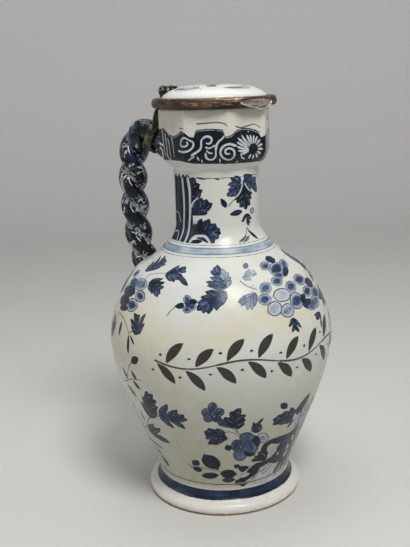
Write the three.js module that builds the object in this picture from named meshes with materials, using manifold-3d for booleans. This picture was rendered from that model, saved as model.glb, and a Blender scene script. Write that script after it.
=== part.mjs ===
// A covered pitcher of tin-glazed earthenware: a round jug with an eight-sided collar, a handle of two
// twisted strands, and a domed lid of the same ware, held in a metal rim and hinged to a band round the
// handle's root. Millimetres, +Z up, the origin at the middle of the foot's underside. The handle is at
// -X and the pouring side at +X.
import * as THREE from "three";
import { mergeVertices } from "three/addons/utils/BufferGeometryUtils.js";
import Module from "manifold-3d";

const wasm = await Module();
wasm.setup();

// Clearances
const FIT_GAP = 0.3; // between pieces that lie against each other
const CUT_MARGIN = 5; // how far a cutting form runs past what it cuts

// Foot: a thrown ring with a rounded edge, hollow underneath
const FOOT_RADIUS = 51.5;
const FOOT_EDGE_ROUND = 3.7;
const FOOT_RING_WIDTH = 4.6;
const FOOT_HOLLOW = 4;
const FOOT_HOLLOW_SLOPE = 1.6;

// Body, from the foot up: each rise starts where the one below it ends
const WAIST_RADIUS = 44.4;
const WAIST_HEIGHT = 14.6;
const WAIST_FULLNESS = 11.4;
const BELLY_RADIUS = 73.2;
const BELLY_RISE = 94.5;
const BELLY_LOWER_FULLNESS = 31;
const BELLY_UPPER_FULLNESS = 20;
const SHOULDER_RADIUS = 52;
const SHOULDER_RISE = 46.1;
const SHOULDER_SLOPE = THREE.MathUtils.degToRad(25);
const SHOULDER_FULLNESS = 6.2;
const NECK_RADIUS = 27.4;
const NECK_SWEEP_RISE = 27.6;
const NECK_SWEEP_FULLNESS = 11;
const NECK_LENGTH = 34.2;
const WALL = 5;
const FLOOR_THICKNESS = 5.5;
const FLOOR_ROUND = 6;

// Collar: round where it leaves the neck, pared into flat sides above
const COLLAR_SIDES = 8;
const COLLAR_APOTHEM = 33.4;
const COLLAR_BOWL_RISE = 12.5;
const COLLAR_BOWL_FULLNESS = 3.4;
const COLLAR_WALL_HEIGHT = 25.4;
const COLLAR_WALL = 4.1;
const COLLAR_EDGE_ROUND = 1.3;

// Handle: a thick root on the collar, then two strands twisted like rope
const HANDLE_REACH = 65.6; // from the jug's axis to the middle of the rope
const HANDLE_CREST_REACH = 55.5;
const HANDLE_CREST_DROP = 15.6; // below the collar's top
const HANDLE_BEND_RISE = 24; // from the upright stretch up to the crest
const HANDLE_SEAT_DROP = 8; // the rope's lower end, below the shoulder
const HANDLE_TURN_IN = 26; // the height over which the rope turns in to its seat
const ROOT_RADIUS = 10.3;
const ROOT_NECK_RADIUS = 8;
const ROOT_DROP = 26; // the root's middle at the collar, below the collar's top
const ROOT_SEGMENTS = 20;
const STRAND_TOP_RADIUS = 5.3;
const STRAND_SEAT_RADIUS = 4.5;
const ROPE_LAY = 37.5; // length of one full turn
const ROPE_PHASE = THREE.MathUtils.degToRad(40);
const STRAND_SIDES = 10;
const STRAND_STEPS = 46;

// Band and strap of sheet metal that carry the hinge
const BAND_REACH = 45.7;
const BAND_DROP = 20.3; // the band's middle, below the collar's top
const BAND_WIDTH = 6.4;
const BAND_THICKNESS = 1;
const BAND_SEGMENTS = 32;
const STRAP_THICKNESS = 1.4;
const STRAP_NECK_HALF_WIDTH = 1.6;
const STRAP_NECK_LENGTH = 3.2;
const SADDLE_ANGLE = THREE.MathUtils.degToRad(116);
const SADDLE_THICKNESS = 1;

// Hinge
const KNUCKLE_RADIUS = 2;
const KNUCKLE_LENGTH = 2.4;
const KNUCKLE_SEGMENTS = 12;
const PIN_RADIUS = 1;
const PIN_HEAD_RADIUS = 1.6;
const PIN_HEAD_LENGTH = 0.8;
const HINGE_STANDOFF = 3.4; // from the rim's edge to the pin
const HINGE_RISE = 2; // from the rim's underside to the pin
const LEAF_THICKNESS = 1.6;

// Lid
const DOME_RADIUS = 32.8;
const DOME_RISE = 7.6;
const DOME_SHAPE = 3; // a higher number keeps the top flat further out
const DOME_EDGE_SHAPE = 0.65;
const DOME_WALL = 5;
const DOME_UNDERSIDE_RADIUS = 28;
const FLANGE_WIDTH = 2.6;
const FLANGE_THICKNESS = 3.1;
const BEDDING_WIDTH = 0.7;
const RIM_SHEET = 1.1;
const RIM_BEAD = 2.6; // thickness of the rim's rounded outer edge
const RIM_LIP = 5.8; // how far the rim reaches inwards under the lid

// Thumbpiece
const THUMB_REACH = 34;
const THUMB_LOBE_RADIUS = 3.5;
const THUMB_SPREAD = 9.8; // between the middles of the two lobes
const THUMB_RISE = 5.1; // from the rim's top to the middles of the lobes
const THUMB_BAR_RADIUS = 1.7;
const THUMB_STEM_HALF_WIDTH = 2.4;
const THUMB_STEM_THICKNESS = 2.2;
const THUMB_FOOT_THICKNESS = 1.1;
const THUMB_FOOT_HALF_ANGLE = THREE.MathUtils.degToRad(9);

const ROUND_SEGMENTS = 40; // a multiple of the collar's sides, so that each arris has a vertex

// Heights that follow from the sizes above
const bellyHeight = WAIST_HEIGHT + BELLY_RISE;
const shoulderHeight = bellyHeight + SHOULDER_RISE;
const neckFoot = shoulderHeight + NECK_SWEEP_RISE;
const collarFoot = neckFoot + NECK_LENGTH;
const collarWallFoot = collarFoot + COLLAR_BOWL_RISE;
const collarTop = collarWallFoot + COLLAR_WALL_HEIGHT;

// The lid's stack, from the collar up, and the radii of what nests in the rim
const rimBottom = collarTop + FIT_GAP;
const flangeBottom = rimBottom + RIM_SHEET + FIT_GAP;
const flangeTop = flangeBottom + FLANGE_THICKNESS;
const rimTop = flangeTop + FIT_GAP + RIM_SHEET;
const flangeRadius = DOME_RADIUS + FLANGE_WIDTH;
const beddingInner = flangeRadius + FIT_GAP;
const beddingOuter = beddingInner + BEDDING_WIDTH;
const rimChannel = beddingOuter + FIT_GAP;
const rimRadius = rimChannel + RIM_BEAD;
const hinge = new THREE.Vector3(-(rimRadius + HINGE_STANDOFF), 0, rimBottom + HINGE_RISE);
const knuckleInner = STRAP_NECK_HALF_WIDTH + FIT_GAP;
const knuckleOuter = knuckleInner + KNUCKLE_LENGTH;

// Turns a closed geometry into a solid that can be joined and cut.
function solidOf(geometry) {
  const bare = geometry.clone();
  bare.deleteAttribute("normal");
  bare.deleteAttribute("uv");
  const merged = mergeVertices(bare, 1e-4);
  return new wasm.Manifold(
    new wasm.Mesh({
      numProp: 3,
      vertProperties: new Float32Array(merged.attributes.position.array),
      triVerts: new Uint32Array(merged.index.array),
    }),
  );
}

function geometryOf(solid) {
  const mesh = solid.getMesh();
  const geometry = new THREE.BufferGeometry();
  geometry.setAttribute("position", new THREE.BufferAttribute(mesh.vertProperties, 3));
  geometry.setIndex(new THREE.BufferAttribute(mesh.triVerts, 1));
  geometry.computeVertexNormals();
  return geometry;
}

// Skins a list of rings, all with the same number of points, and closes each end with a fan.
function loft(rings) {
  const count = rings[0].length;
  const positions = rings.flat().flatMap((point) => point.toArray());
  const faces = [];
  for (let i = 0; i + 1 < rings.length; i++) {
    for (let j = 0; j < count; j++) {
      const a = i * count + j;
      const b = i * count + ((j + 1) % count);
      faces.push(a, b, b + count, a, b + count, a + count);
    }
  }
  const middleOf = (ring) =>
    ring.reduce((sum, point) => sum.add(point), new THREE.Vector3()).divideScalar(count);
  const last = (rings.length - 1) * count;
  const start = rings.length * count;
  positions.push(...middleOf(rings[0]).toArray(), ...middleOf(rings.at(-1)).toArray());
  for (let j = 0; j < count; j++) {
    const next = (j + 1) % count;
    faces.push(start, next, j);
    faces.push(start + 1, last + j, last + next);
  }
  const geometry = new THREE.BufferGeometry();
  geometry.setAttribute("position", new THREE.Float32BufferAttribute(positions, 3));
  geometry.setIndex(faces);
  return geometry;
}

// Revolves an outline of (radius, height) points about the Z axis.
function revolve(outline, segments = ROUND_SEGMENTS) {
  return new THREE.LatheGeometry(outline, segments).rotateX(Math.PI / 2);
}

// A closed ring outline, for pieces that don't reach the axis.
function closedOutline(points) {
  return [...points, points[0]].map(([radius, height]) => new THREE.Vector2(radius, height));
}

// A shape drawn in the XZ plane, given a thickness along Y.
function alongY(shape, low, high, curveSegments = KNUCKLE_SEGMENTS) {
  const settings = { depth: high - low, bevelEnabled: false, curveSegments };
  return new THREE.ExtrudeGeometry(shape, settings).rotateX(Math.PI / 2).translate(0, high, 0);
}

function disc(x, z, radius) {
  return new THREE.Shape().absarc(x, z, radius, 0, 2 * Math.PI, false);
}

function box(lowX, highX, lowY, highY, lowZ, highZ) {
  return new THREE.BoxGeometry(highX - lowX, highY - lowY, highZ - lowZ).translate(
    (lowX + highX) / 2,
    (lowY + highY) / 2,
    (lowZ + highZ) / 2,
  );
}

// The outside of the body from the waist to the neck: three curves that meet smoothly.
function bodyCurves() {
  const along = new THREE.Vector2(-Math.cos(SHOULDER_SLOPE), Math.sin(SHOULDER_SLOPE));
  const shoulder = new THREE.Vector2(SHOULDER_RADIUS, shoulderHeight);
  const at = (radius, height) => new THREE.Vector2(radius, height);
  const lower = new THREE.CubicBezierCurve(
    at(WAIST_RADIUS, WAIST_HEIGHT),
    at(WAIST_RADIUS, WAIST_HEIGHT + WAIST_FULLNESS),
    at(BELLY_RADIUS, bellyHeight - BELLY_LOWER_FULLNESS),
    at(BELLY_RADIUS, bellyHeight),
  );
  const upper = new THREE.CubicBezierCurve(
    at(BELLY_RADIUS, bellyHeight),
    at(BELLY_RADIUS, bellyHeight + BELLY_UPPER_FULLNESS),
    shoulder.clone().addScaledVector(along, -SHOULDER_FULLNESS),
    shoulder,
  );
  const sweep = new THREE.CubicBezierCurve(
    shoulder,
    shoulder.clone().addScaledVector(along, SHOULDER_FULLNESS),
    at(NECK_RADIUS, neckFoot - NECK_SWEEP_FULLNESS),
    at(NECK_RADIUS, neckFoot),
  );
  return [...lower.getPoints(9), ...upper.getPoints(7).slice(1), ...sweep.getPoints(7).slice(1)];
}

// Moves an outline sideways: outwards where the distance is positive, inwards where it is negative.
function offsetOutline(points, distance) {
  return points.map((point, i) => {
    const before = points[Math.max(i - 1, 0)];
    const after = points[Math.min(i + 1, points.length - 1)];
    const run = after.clone().sub(before).normalize();
    return new THREE.Vector2(point.x + run.y * distance, point.y - run.x * distance);
  });
}

function footOutline() {
  const middle = FOOT_RADIUS - FOOT_EDGE_ROUND;
  const hollowRadius = middle - FOOT_RING_WIDTH;
  const edge = new THREE.Path().absarc(middle, FOOT_EDGE_ROUND, FOOT_EDGE_ROUND, -Math.PI / 2, 1.15, false);
  const edgePoints = edge.getPoints(4);
  const cove = new THREE.QuadraticBezierCurve(
    edgePoints.at(-1),
    new THREE.Vector2(WAIST_RADIUS, FOOT_EDGE_ROUND * 2.4),
    new THREE.Vector2(WAIST_RADIUS, WAIST_HEIGHT),
  );
  return [
    new THREE.Vector2(hollowRadius - FOOT_HOLLOW_SLOPE, FOOT_HOLLOW),
    new THREE.Vector2(hollowRadius, 0),
    ...edgePoints,
    ...cove.getPoints(4).slice(1, -1),
  ];
}

function collarOutline() {
  const bowl = new THREE.CubicBezierCurve(
    new THREE.Vector2(NECK_RADIUS, collarFoot),
    new THREE.Vector2(NECK_RADIUS, collarFoot + COLLAR_BOWL_FULLNESS),
    new THREE.Vector2(COLLAR_APOTHEM, collarFoot + COLLAR_BOWL_FULLNESS),
    new THREE.Vector2(COLLAR_APOTHEM, collarWallFoot),
  );
  return [
    ...bowl.getPoints(7),
    new THREE.Vector2(COLLAR_APOTHEM, collarTop - COLLAR_EDGE_ROUND),
    new THREE.Vector2(COLLAR_APOTHEM - COLLAR_EDGE_ROUND * 0.3, collarTop - COLLAR_EDGE_ROUND * 0.3),
    new THREE.Vector2(COLLAR_APOTHEM - COLLAR_EDGE_ROUND, collarTop),
  ];
}

// The jug's outside as a solid block, each ring round low down and eight-sided in the collar. A grown
// copy cuts the pieces that lie against the jug.
function jugBlock(grow) {
  const outline = [...footOutline(), ...bodyCurves(), ...collarOutline()];
  const rings = offsetOutline(outline, grow).map(({ x: radius, y: height }) => {
    const flatness = THREE.MathUtils.smoothstep(height, collarFoot, collarWallFoot);
    return Array.from({ length: ROUND_SEGMENTS }, (_, i) => {
      const angle = (i / ROUND_SEGMENTS) * 2 * Math.PI;
      const side = (2 * Math.PI) / COLLAR_SIDES;
      const toCorner = 1 / Math.cos((angle % side) - side / 2);
      const reach = radius * THREE.MathUtils.lerp(1, toCorner, flatness);
      return new THREE.Vector3(reach * Math.cos(angle), reach * Math.sin(angle), height);
    });
  });
  return solidOf(loft(rings));
}

// The space inside, from the floor out through the mouth.
function jugHollow() {
  const floor = FOOT_HOLLOW + FLOOR_THICKNESS;
  const sides = offsetOutline(bodyCurves(), -WALL)
    .filter((point) => point.y > floor + FLOOR_ROUND)
    .filter((_, i) => i % 2 === 0);
  const mouthRadius = COLLAR_APOTHEM - COLLAR_WALL;
  const mouth = new THREE.CubicBezierCurve(
    new THREE.Vector2(NECK_RADIUS - WALL, collarFoot),
    new THREE.Vector2(NECK_RADIUS - WALL, collarFoot + COLLAR_BOWL_RISE / 2),
    new THREE.Vector2(mouthRadius, collarFoot + COLLAR_BOWL_RISE / 2),
    new THREE.Vector2(mouthRadius, collarWallFoot),
  );
  return solidOf(
    revolve([
      new THREE.Vector2(0, floor),
      new THREE.Vector2(sides[0].x - FLOOR_ROUND, floor),
      ...sides,
      ...mouth.getPoints(5),
      new THREE.Vector2(mouthRadius, collarTop - COLLAR_EDGE_ROUND),
      new THREE.Vector2(mouthRadius + COLLAR_EDGE_ROUND, collarTop + COLLAR_EDGE_ROUND),
      new THREE.Vector2(mouthRadius + COLLAR_EDGE_ROUND, collarTop + CUT_MARGIN),
      new THREE.Vector2(0, collarTop + CUT_MARGIN),
    ]),
  );
}

// The middle line of the whole handle, from inside the collar's wall to inside the shoulder.
function handlePath() {
  const crest = collarTop - HANDLE_CREST_DROP;
  const seat = shoulderHeight - HANDLE_SEAT_DROP;
  const root = collarTop - ROOT_DROP;
  const band = collarTop - BAND_DROP;
  const bend = HANDLE_REACH - HANDLE_CREST_REACH;
  const points = [
    [COLLAR_APOTHEM - 2 * COLLAR_WALL, root],
    [COLLAR_APOTHEM + COLLAR_WALL, root + (band - root) * 0.36],
    [BAND_REACH, band],
    [HANDLE_CREST_REACH, crest],
    [HANDLE_CREST_REACH + bend * 0.64, crest - HANDLE_BEND_RISE * 0.3],
    [HANDLE_REACH, crest - HANDLE_BEND_RISE],
    [HANDLE_REACH, (crest - HANDLE_BEND_RISE + seat + HANDLE_TURN_IN) / 2],
    [HANDLE_REACH - bend * 0.15, seat + HANDLE_TURN_IN],
    [HANDLE_REACH - bend * 0.48, seat + HANDLE_TURN_IN * 0.42],
    [SHOULDER_RADIUS + WALL, seat],
    [SHOULDER_RADIUS, seat - HANDLE_SEAT_DROP],
  ];
  return new THREE.CatmullRomCurve3(points.map(([reach, height]) => new THREE.Vector3(-reach, 0, height)));
}

const path = handlePath();
const pathLength = path.getLength();

// How far along the handle, from 0 to 1, a given reach is first passed.
function shareAtReach(reach) {
  let share = 0;
  while (share < 1 && -path.getPointAt(share).x < reach) share += 0.0005;
  return share;
}

const bandShare = shareAtReach(BAND_REACH);
const rootEnd = BAND_WIDTH / 2 + FIT_GAP; // from the band's middle to the root's flat end

// The handle's directions at a share of its length: along it, away from its inner side, and sideways.
function frameAt(share) {
  const along = path.getTangentAt(share);
  const sideways = new THREE.Vector3(0, 1, 0);
  const outwards = new THREE.Vector3().crossVectors(sideways, along);
  return { middle: path.getPointAt(share), along, outwards, sideways };
}

// The points of a circle about a middle, in the plane of two directions.
function ringAbout(middle, first, second, radius, count) {
  return Array.from({ length: count }, (_, i) => {
    const angle = (i / count) * 2 * Math.PI;
    return middle
      .clone()
      .addScaledVector(first, radius * Math.cos(angle))
      .addScaledVector(second, radius * Math.sin(angle));
  });
}

// Rings of a given radius, square to the handle's middle line.
function roundAlong(stations) {
  const rings = stations.map(([share, radius]) => {
    const { middle, outwards, sideways } = frameAt(share);
    return ringAbout(middle, outwards, sideways, radius, ROOT_SEGMENTS);
  });
  return solidOf(loft(rings));
}

// The root: a thick knob on the collar that narrows to a straight neck for the band.
function handleRoot() {
  const seatShare = rootEnd / pathLength;
  const narrowing = ROOT_RADIUS - ROOT_NECK_RADIUS;
  const knob = roundAlong([
    [0, ROOT_NECK_RADIUS],
    [bandShare * 0.3, ROOT_RADIUS - narrowing * 0.2],
    [bandShare * 0.5, ROOT_RADIUS],
    [bandShare * 0.72, ROOT_RADIUS - narrowing * 0.35],
    [bandShare - seatShare, ROOT_NECK_RADIUS],
  ]);
  const beyondKnob = rodOnRoot(ROOT_RADIUS + CUT_MARGIN, -rootEnd, rootEnd);
  return knob.subtract(beyondKnob).add(rodOnRoot(ROOT_NECK_RADIUS, -2 * rootEnd, rootEnd));
}

// One strand of the rope: it winds round the handle's middle line and thins towards its lower end.
function strandTube(turnOffset, grow) {
  const rings = [];
  const placeAt = (part) => {
    const share = THREE.MathUtils.lerp(bandShare, 1, part);
    const { middle, outwards, sideways } = frameAt(share);
    const turned = ((share - bandShare) * pathLength * 2 * Math.PI) / ROPE_LAY;
    const angle = ROPE_PHASE + turnOffset - turned;
    const radius = THREE.MathUtils.lerp(STRAND_TOP_RADIUS, STRAND_SEAT_RADIUS, part);
    const side = outwards.multiplyScalar(Math.cos(angle)).addScaledVector(sideways, Math.sin(angle));
    return { radius, side, middle: middle.addScaledVector(side, radius + FIT_GAP / 2) };
  };
  for (let i = 0; i <= STRAND_STEPS; i++) {
    const part = i / STRAND_STEPS;
    const { radius, side, middle } = placeAt(part);
    const before = placeAt(Math.max(part - 0.005, 0)).middle;
    const along = placeAt(Math.min(part + 0.005, 1)).middle.sub(before).normalize();
    const across = new THREE.Vector3().crossVectors(along, side).normalize();
    const level = new THREE.Vector3().crossVectors(across, along);
    rings.push(ringAbout(middle, level, across, radius + grow, STRAND_SIDES));
  }
  return solidOf(loft(rings));
}

// The strands start square on the root's end and stop on the shoulder.
function strands() {
  const ropeRadius = 2 * STRAND_TOP_RADIUS + CUT_MARGIN;
  const cut = jugBlock(FIT_GAP).add(rodOnRoot(ropeRadius, COLLAR_APOTHEM - BAND_REACH, rootEnd + FIT_GAP));
  const first = strandTube(0, 0).subtract(cut);
  const second = strandTube(Math.PI, 0).subtract(cut).subtract(strandTube(0, FIT_GAP));
  return [first, second];
}

// Places a piece that was made about the Z axis round the handle's root, square to it.
function roundTheRoot(geometry) {
  const { middle, along, outwards, sideways } = frameAt(bandShare);
  const turn = new THREE.Matrix4().makeBasis(outwards, sideways, along);
  return geometry.applyMatrix4(turn.setPosition(middle));
}

const bandInner = ROOT_NECK_RADIUS + FIT_GAP;
const bandOuter = bandInner + BAND_THICKNESS;

// A straight rod about the middle line of the root's neck, between two distances from the band's middle.
function rodOnRoot(radius, low, high) {
  const rod = new THREE.CylinderGeometry(radius, radius, high - low, BAND_SEGMENTS);
  return solidOf(roundTheRoot(rod.rotateX(Math.PI / 2).translate(0, 0, (low + high) / 2)));
}

// A straight ring round the root's neck.
function ringOnRoot(inner, outer, width) {
  const outline = closedOutline([
    [inner, -width / 2],
    [outer, -width / 2],
    [outer, width / 2],
    [inner, width / 2],
  ]);
  return solidOf(roundTheRoot(revolve(outline, BAND_SEGMENTS)));
}

function handleBand() {
  return ringOnRoot(bandInner, bandOuter, BAND_WIDTH);
}

// The jug, in one piece with the handle's root.
function jugBody() {
  return jugBlock(0).add(handleRoot()).subtract(jugHollow());
}

// The strap: a saddle on the band, a plate that narrows upwards, and the middle knuckle.
function hingeStrap() {
  const half = BAND_WIDTH / 2;
  const inner = bandOuter + FIT_GAP;
  const outer = inner + SADDLE_THICKNESS;
  const arc = new THREE.Shape();
  const from = -SADDLE_ANGLE / 2;
  const to = SADDLE_ANGLE / 2;
  arc.absarc(0, 0, outer, from, to, false);
  arc.absarc(0, 0, inner, to, from, true);
  const settings = { depth: BAND_WIDTH, bevelEnabled: false, curveSegments: 14 };
  const saddle = solidOf(roundTheRoot(new THREE.ExtrudeGeometry(arc, settings).translate(0, 0, -half)));

  const { middle, outwards } = frameAt(bandShare);
  const foot = middle.clone().addScaledVector(outwards, outer - SADDLE_THICKNESS);
  const down = foot.clone().sub(hinge);
  const plateLength = down.length();
  const wide = outer * Math.sin(SADDLE_ANGLE / 2) * 0.96;
  const neck = STRAP_NECK_HALF_WIDTH;
  const dip = outer * (1 - Math.cos(SADDLE_ANGLE / 2)) * 0.9;
  const plate = new THREE.Shape();
  plate.moveTo(-neck, 0);
  plate.lineTo(neck, 0);
  plate.lineTo(neck, -STRAP_NECK_LENGTH);
  plate.quadraticCurveTo(neck * 1.4, -plateLength * 0.7, wide, -plateLength - dip * 0.5);
  plate.lineTo(wide, -plateLength - dip);
  plate.lineTo(-wide, -plateLength - dip);
  plate.lineTo(-wide, -plateLength - dip * 0.5);
  plate.quadraticCurveTo(-neck * 1.4, -plateLength * 0.7, -neck, -STRAP_NECK_LENGTH);
  const sheet = new THREE.ExtrudeGeometry(plate, { depth: STRAP_THICKNESS, bevelEnabled: false, curveSegments: 6 });
  const upwards = down.clone().normalize().negate();
  const sideways = new THREE.Vector3(0, 1, 0);
  const facing = new THREE.Vector3().crossVectors(sideways, upwards);
  const turn = new THREE.Matrix4().makeBasis(sideways, upwards, facing).setPosition(hinge);
  sheet.translate(0, 0, -STRAP_THICKNESS / 2).applyMatrix4(turn);

  const bandHole = rodOnRoot(inner, -2 * BAND_WIDTH, 2 * BAND_WIDTH);
  const knuckle = solidOf(alongY(disc(hinge.x, hinge.z, KNUCKLE_RADIUS), -neck, neck));
  return solidOf(sheet).subtract(bandHole).add(saddle).add(knuckle).subtract(pinBore());
}

function pinBore() {
  const reach = knuckleOuter + CUT_MARGIN;
  return solidOf(alongY(disc(hinge.x, hinge.z, PIN_RADIUS + FIT_GAP), -reach, reach));
}

function hingePin() {
  const headStart = knuckleOuter + FIT_GAP;
  const end = headStart + PIN_HEAD_LENGTH;
  const shank = solidOf(alongY(disc(hinge.x, hinge.z, PIN_RADIUS), -end, end));
  const head = disc(hinge.x, hinge.z, PIN_HEAD_RADIUS);
  return shank.add(solidOf(alongY(head, headStart, end))).add(solidOf(alongY(head, -end, -headStart)));
}

// The lid's half of the hinge: a plate on the rim's edge with a knuckle at each side.
function hingeLeaf() {
  const half = LEAF_THICKNESS / 2;
  const plate = box(hinge.x, hinge.x + rimRadius, -knuckleOuter, knuckleOuter, hinge.z - half, hinge.z + half);
  const rimCut = solidOf(
    revolve(
      closedOutline([
        [0, rimBottom - CUT_MARGIN],
        [rimRadius + FIT_GAP, rimBottom - CUT_MARGIN],
        [rimRadius + FIT_GAP, rimTop + CUT_MARGIN],
        [0, rimTop + CUT_MARGIN],
      ]).slice(0, -1),
    ),
  );
  const notch = alongY(disc(hinge.x, hinge.z, KNUCKLE_RADIUS + FIT_GAP), -knuckleInner, knuckleInner);
  const round = disc(hinge.x, hinge.z, KNUCKLE_RADIUS);
  return solidOf(plate)
    .subtract(rimCut)
    .subtract(solidOf(notch))
    .add(solidOf(alongY(round, knuckleInner, knuckleOuter)))
    .add(solidOf(alongY(round, -knuckleOuter, -knuckleInner)))
    .subtract(pinBore());
}

// The lid: a dome with a flange that the rim grips, hollow underneath.
function lidDome() {
  const outside = [];
  const under = [];
  const steps = 10;
  for (let i = steps; i >= 0; i--) {
    const share = Math.sin((i / steps) * (Math.PI / 2));
    const rise = DOME_RISE * (1 - share ** DOME_SHAPE) ** DOME_EDGE_SHAPE;
    outside.push(new THREE.Vector2(DOME_RADIUS * share, rimTop + rise));
  }
  for (let i = 0; i <= 6; i++) {
    const turn = (i / 6) * (Math.PI / 2);
    const hollow = rimTop + DOME_RISE - DOME_WALL - flangeBottom;
    under.push(new THREE.Vector2(DOME_UNDERSIDE_RADIUS * Math.sin(turn), flangeBottom + hollow * Math.cos(turn)));
  }
  const flange = [
    new THREE.Vector2(flangeRadius, flangeBottom),
    new THREE.Vector2(flangeRadius, flangeTop),
    new THREE.Vector2(DOME_RADIUS, flangeTop),
  ];
  return solidOf(revolve([...under, ...flange, ...outside]));
}

// The rim: sheet metal folded over the flange, with a rounded outer edge.
function lidRim() {
  const middle = (rimBottom + rimTop) / 2;
  const halfHeight = (rimTop - rimBottom) / 2;
  const roundDepth = RIM_BEAD * 0.7;
  const edge = [];
  for (let i = 0; i <= 6; i++) {
    const angle = (i / 6 - 0.5) * Math.PI;
    edge.push([rimRadius - roundDepth * (1 - Math.cos(angle)), middle + halfHeight * Math.sin(angle)]);
  }
  const topInner = DOME_RADIUS + FIT_GAP;
  const outline = closedOutline([
    [rimChannel - RIM_LIP, rimBottom],
    ...edge,
    [topInner, rimTop],
    [topInner, rimTop - RIM_SHEET],
    [rimChannel, rimTop - RIM_SHEET],
    [rimChannel, rimBottom + RIM_SHEET],
    [rimChannel - RIM_LIP, rimBottom + RIM_SHEET],
  ]);
  return solidOf(revolve(outline));
}

function lidBedding() {
  const outline = closedOutline([
    [beddingInner, flangeBottom],
    [beddingOuter, flangeBottom],
    [beddingOuter, flangeTop],
    [beddingInner, flangeTop],
  ]);
  return solidOf(revolve(outline));
}

// The thumbpiece: a foot on the rim, a stem that leans in, and two round lobes on a bar.
function thumbpiece() {
  const footBottom = rimTop + FIT_GAP;
  const footTop = footBottom + THUMB_FOOT_THICKNESS;
  const from = Math.PI - THUMB_FOOT_HALF_ANGLE;
  const to = Math.PI + THUMB_FOOT_HALF_ANGLE;
  const innerRadius = DOME_RADIUS + 2 * FIT_GAP;
  const outerRadius = rimRadius - RIM_BEAD * 0.7;
  const pad = new THREE.Shape();
  pad.absarc(0, 0, outerRadius, from, to, false);
  pad.absarc(0, 0, innerRadius, to, from, true);
  const footSettings = { depth: THUMB_FOOT_THICKNESS, bevelEnabled: false, curveSegments: 4 };
  const foot = solidOf(new THREE.ExtrudeGeometry(pad, footSettings).translate(0, 0, footBottom));

  const lobeHeight = rimTop + THUMB_RISE;
  const stemOuter = outerRadius - FIT_GAP;
  const side = new THREE.Shape();
  side.moveTo(-stemOuter, footTop - THUMB_FOOT_THICKNESS / 2);
  side.lineTo(-stemOuter + THUMB_STEM_THICKNESS, footTop - THUMB_FOOT_THICKNESS / 2);
  side.lineTo(-THUMB_REACH + THUMB_BAR_RADIUS * 0.7, lobeHeight);
  side.lineTo(-THUMB_REACH - THUMB_BAR_RADIUS * 0.7, lobeHeight + THUMB_BAR_RADIUS * 0.5);
  const stem = solidOf(alongY(side, -THUMB_STEM_HALF_WIDTH, THUMB_STEM_HALF_WIDTH));

  const halfSpread = THUMB_SPREAD / 2;
  const bar = solidOf(alongY(disc(-THUMB_REACH, lobeHeight, THUMB_BAR_RADIUS), -halfSpread, halfSpread, 6));
  let piece = foot.add(stem).add(bar);
  for (const place of [-halfSpread, halfSpread]) {
    const lobe = new THREE.SphereGeometry(THUMB_LOBE_RADIUS, 14, 9).scale(1, 0.8, 1);
    piece = piece.add(solidOf(lobe.translate(-THUMB_REACH, place, lobeHeight)));
  }
  return piece;
}

const earthenware = { color: 0xdcdacb, roughness: 0.22, metalness: 0 };
const ropeGlaze = { color: 0x26304f, roughness: 0.22, metalness: 0 };
const copper = { color: 0x6b4433, roughness: 0.45, metalness: 0.9 };
const dullBrass = { color: 0x5c5540, roughness: 0.55, metalness: 0.8 };
const iron = { color: 0x2b2826, roughness: 0.5, metalness: 0.8 };
const putty = { color: 0xb8ad98, roughness: 0.9, metalness: 0 };

function piece(name, solid, finish) {
  const mesh = new THREE.Mesh(geometryOf(solid), new THREE.MeshStandardMaterial(finish));
  mesh.name = name;
  return mesh;
}

const [strandA, strandB] = strands();
const pitcher = new THREE.Group();
pitcher.add(
  piece("jug_body", jugBody(), earthenware),
  piece("handle_strand_a", strandA, ropeGlaze),
  piece("handle_strand_b", strandB, ropeGlaze),
  piece("handle_band", handleBand(), dullBrass),
  piece("hinge_strap", hingeStrap(), dullBrass),
  piece("hinge_pin", hingePin(), iron),
);

// The lid turns about the hinge's pin, so its group sits there.
const lid = new THREE.Group();
lid.position.copy(hinge);
lid.add(
  piece("lid_dome", lidDome(), earthenware),
  piece("lid_bedding", lidBedding(), putty),
  piece("lid_rim", lidRim(), copper),
  piece("hinge_leaf", hingeLeaf(), copper),
  piece("thumbpiece", thumbpiece(), iron),
);
for (const mesh of lid.children) mesh.position.copy(hinge).negate();
pitcher.add(lid);

export default pitcher;
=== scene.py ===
# %% [markdown]
# # A covered pitcher of tin-glazed earthenware
#
# The real object is a thrown jug with a round belly, a straight neck and an eight-sided collar. Its
# handle is two ropes of clay twisted together. A domed lid sits in a folded metal rim, and a pin joins
# the rim to a strap, whose band grips the root of the handle. White glaze covers the clay, and the
# leaves, flowers and scrolls are brushed on it in cobalt blue before the firing.
#
# The sizes come from the packed model, which this lesson loads first. Lengths are written in
# millimetres and turned into metres where a mesh is made.

import math

import bpy
import numpy as np
from mathutils import Matrix, Vector


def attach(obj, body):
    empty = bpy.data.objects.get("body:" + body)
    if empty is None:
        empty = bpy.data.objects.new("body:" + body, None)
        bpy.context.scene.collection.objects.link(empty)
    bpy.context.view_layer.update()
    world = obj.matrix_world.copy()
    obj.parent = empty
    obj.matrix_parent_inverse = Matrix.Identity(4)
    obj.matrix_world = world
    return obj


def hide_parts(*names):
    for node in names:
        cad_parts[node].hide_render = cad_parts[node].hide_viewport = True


MM = 0.001
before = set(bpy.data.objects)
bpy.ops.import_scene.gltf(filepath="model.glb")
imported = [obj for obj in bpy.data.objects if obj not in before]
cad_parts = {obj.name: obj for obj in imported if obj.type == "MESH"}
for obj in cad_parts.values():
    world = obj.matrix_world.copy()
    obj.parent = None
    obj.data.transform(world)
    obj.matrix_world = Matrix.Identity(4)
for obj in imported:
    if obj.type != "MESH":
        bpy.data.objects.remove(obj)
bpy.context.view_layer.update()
print("nodes:", ", ".join(sorted(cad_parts)))

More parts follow.
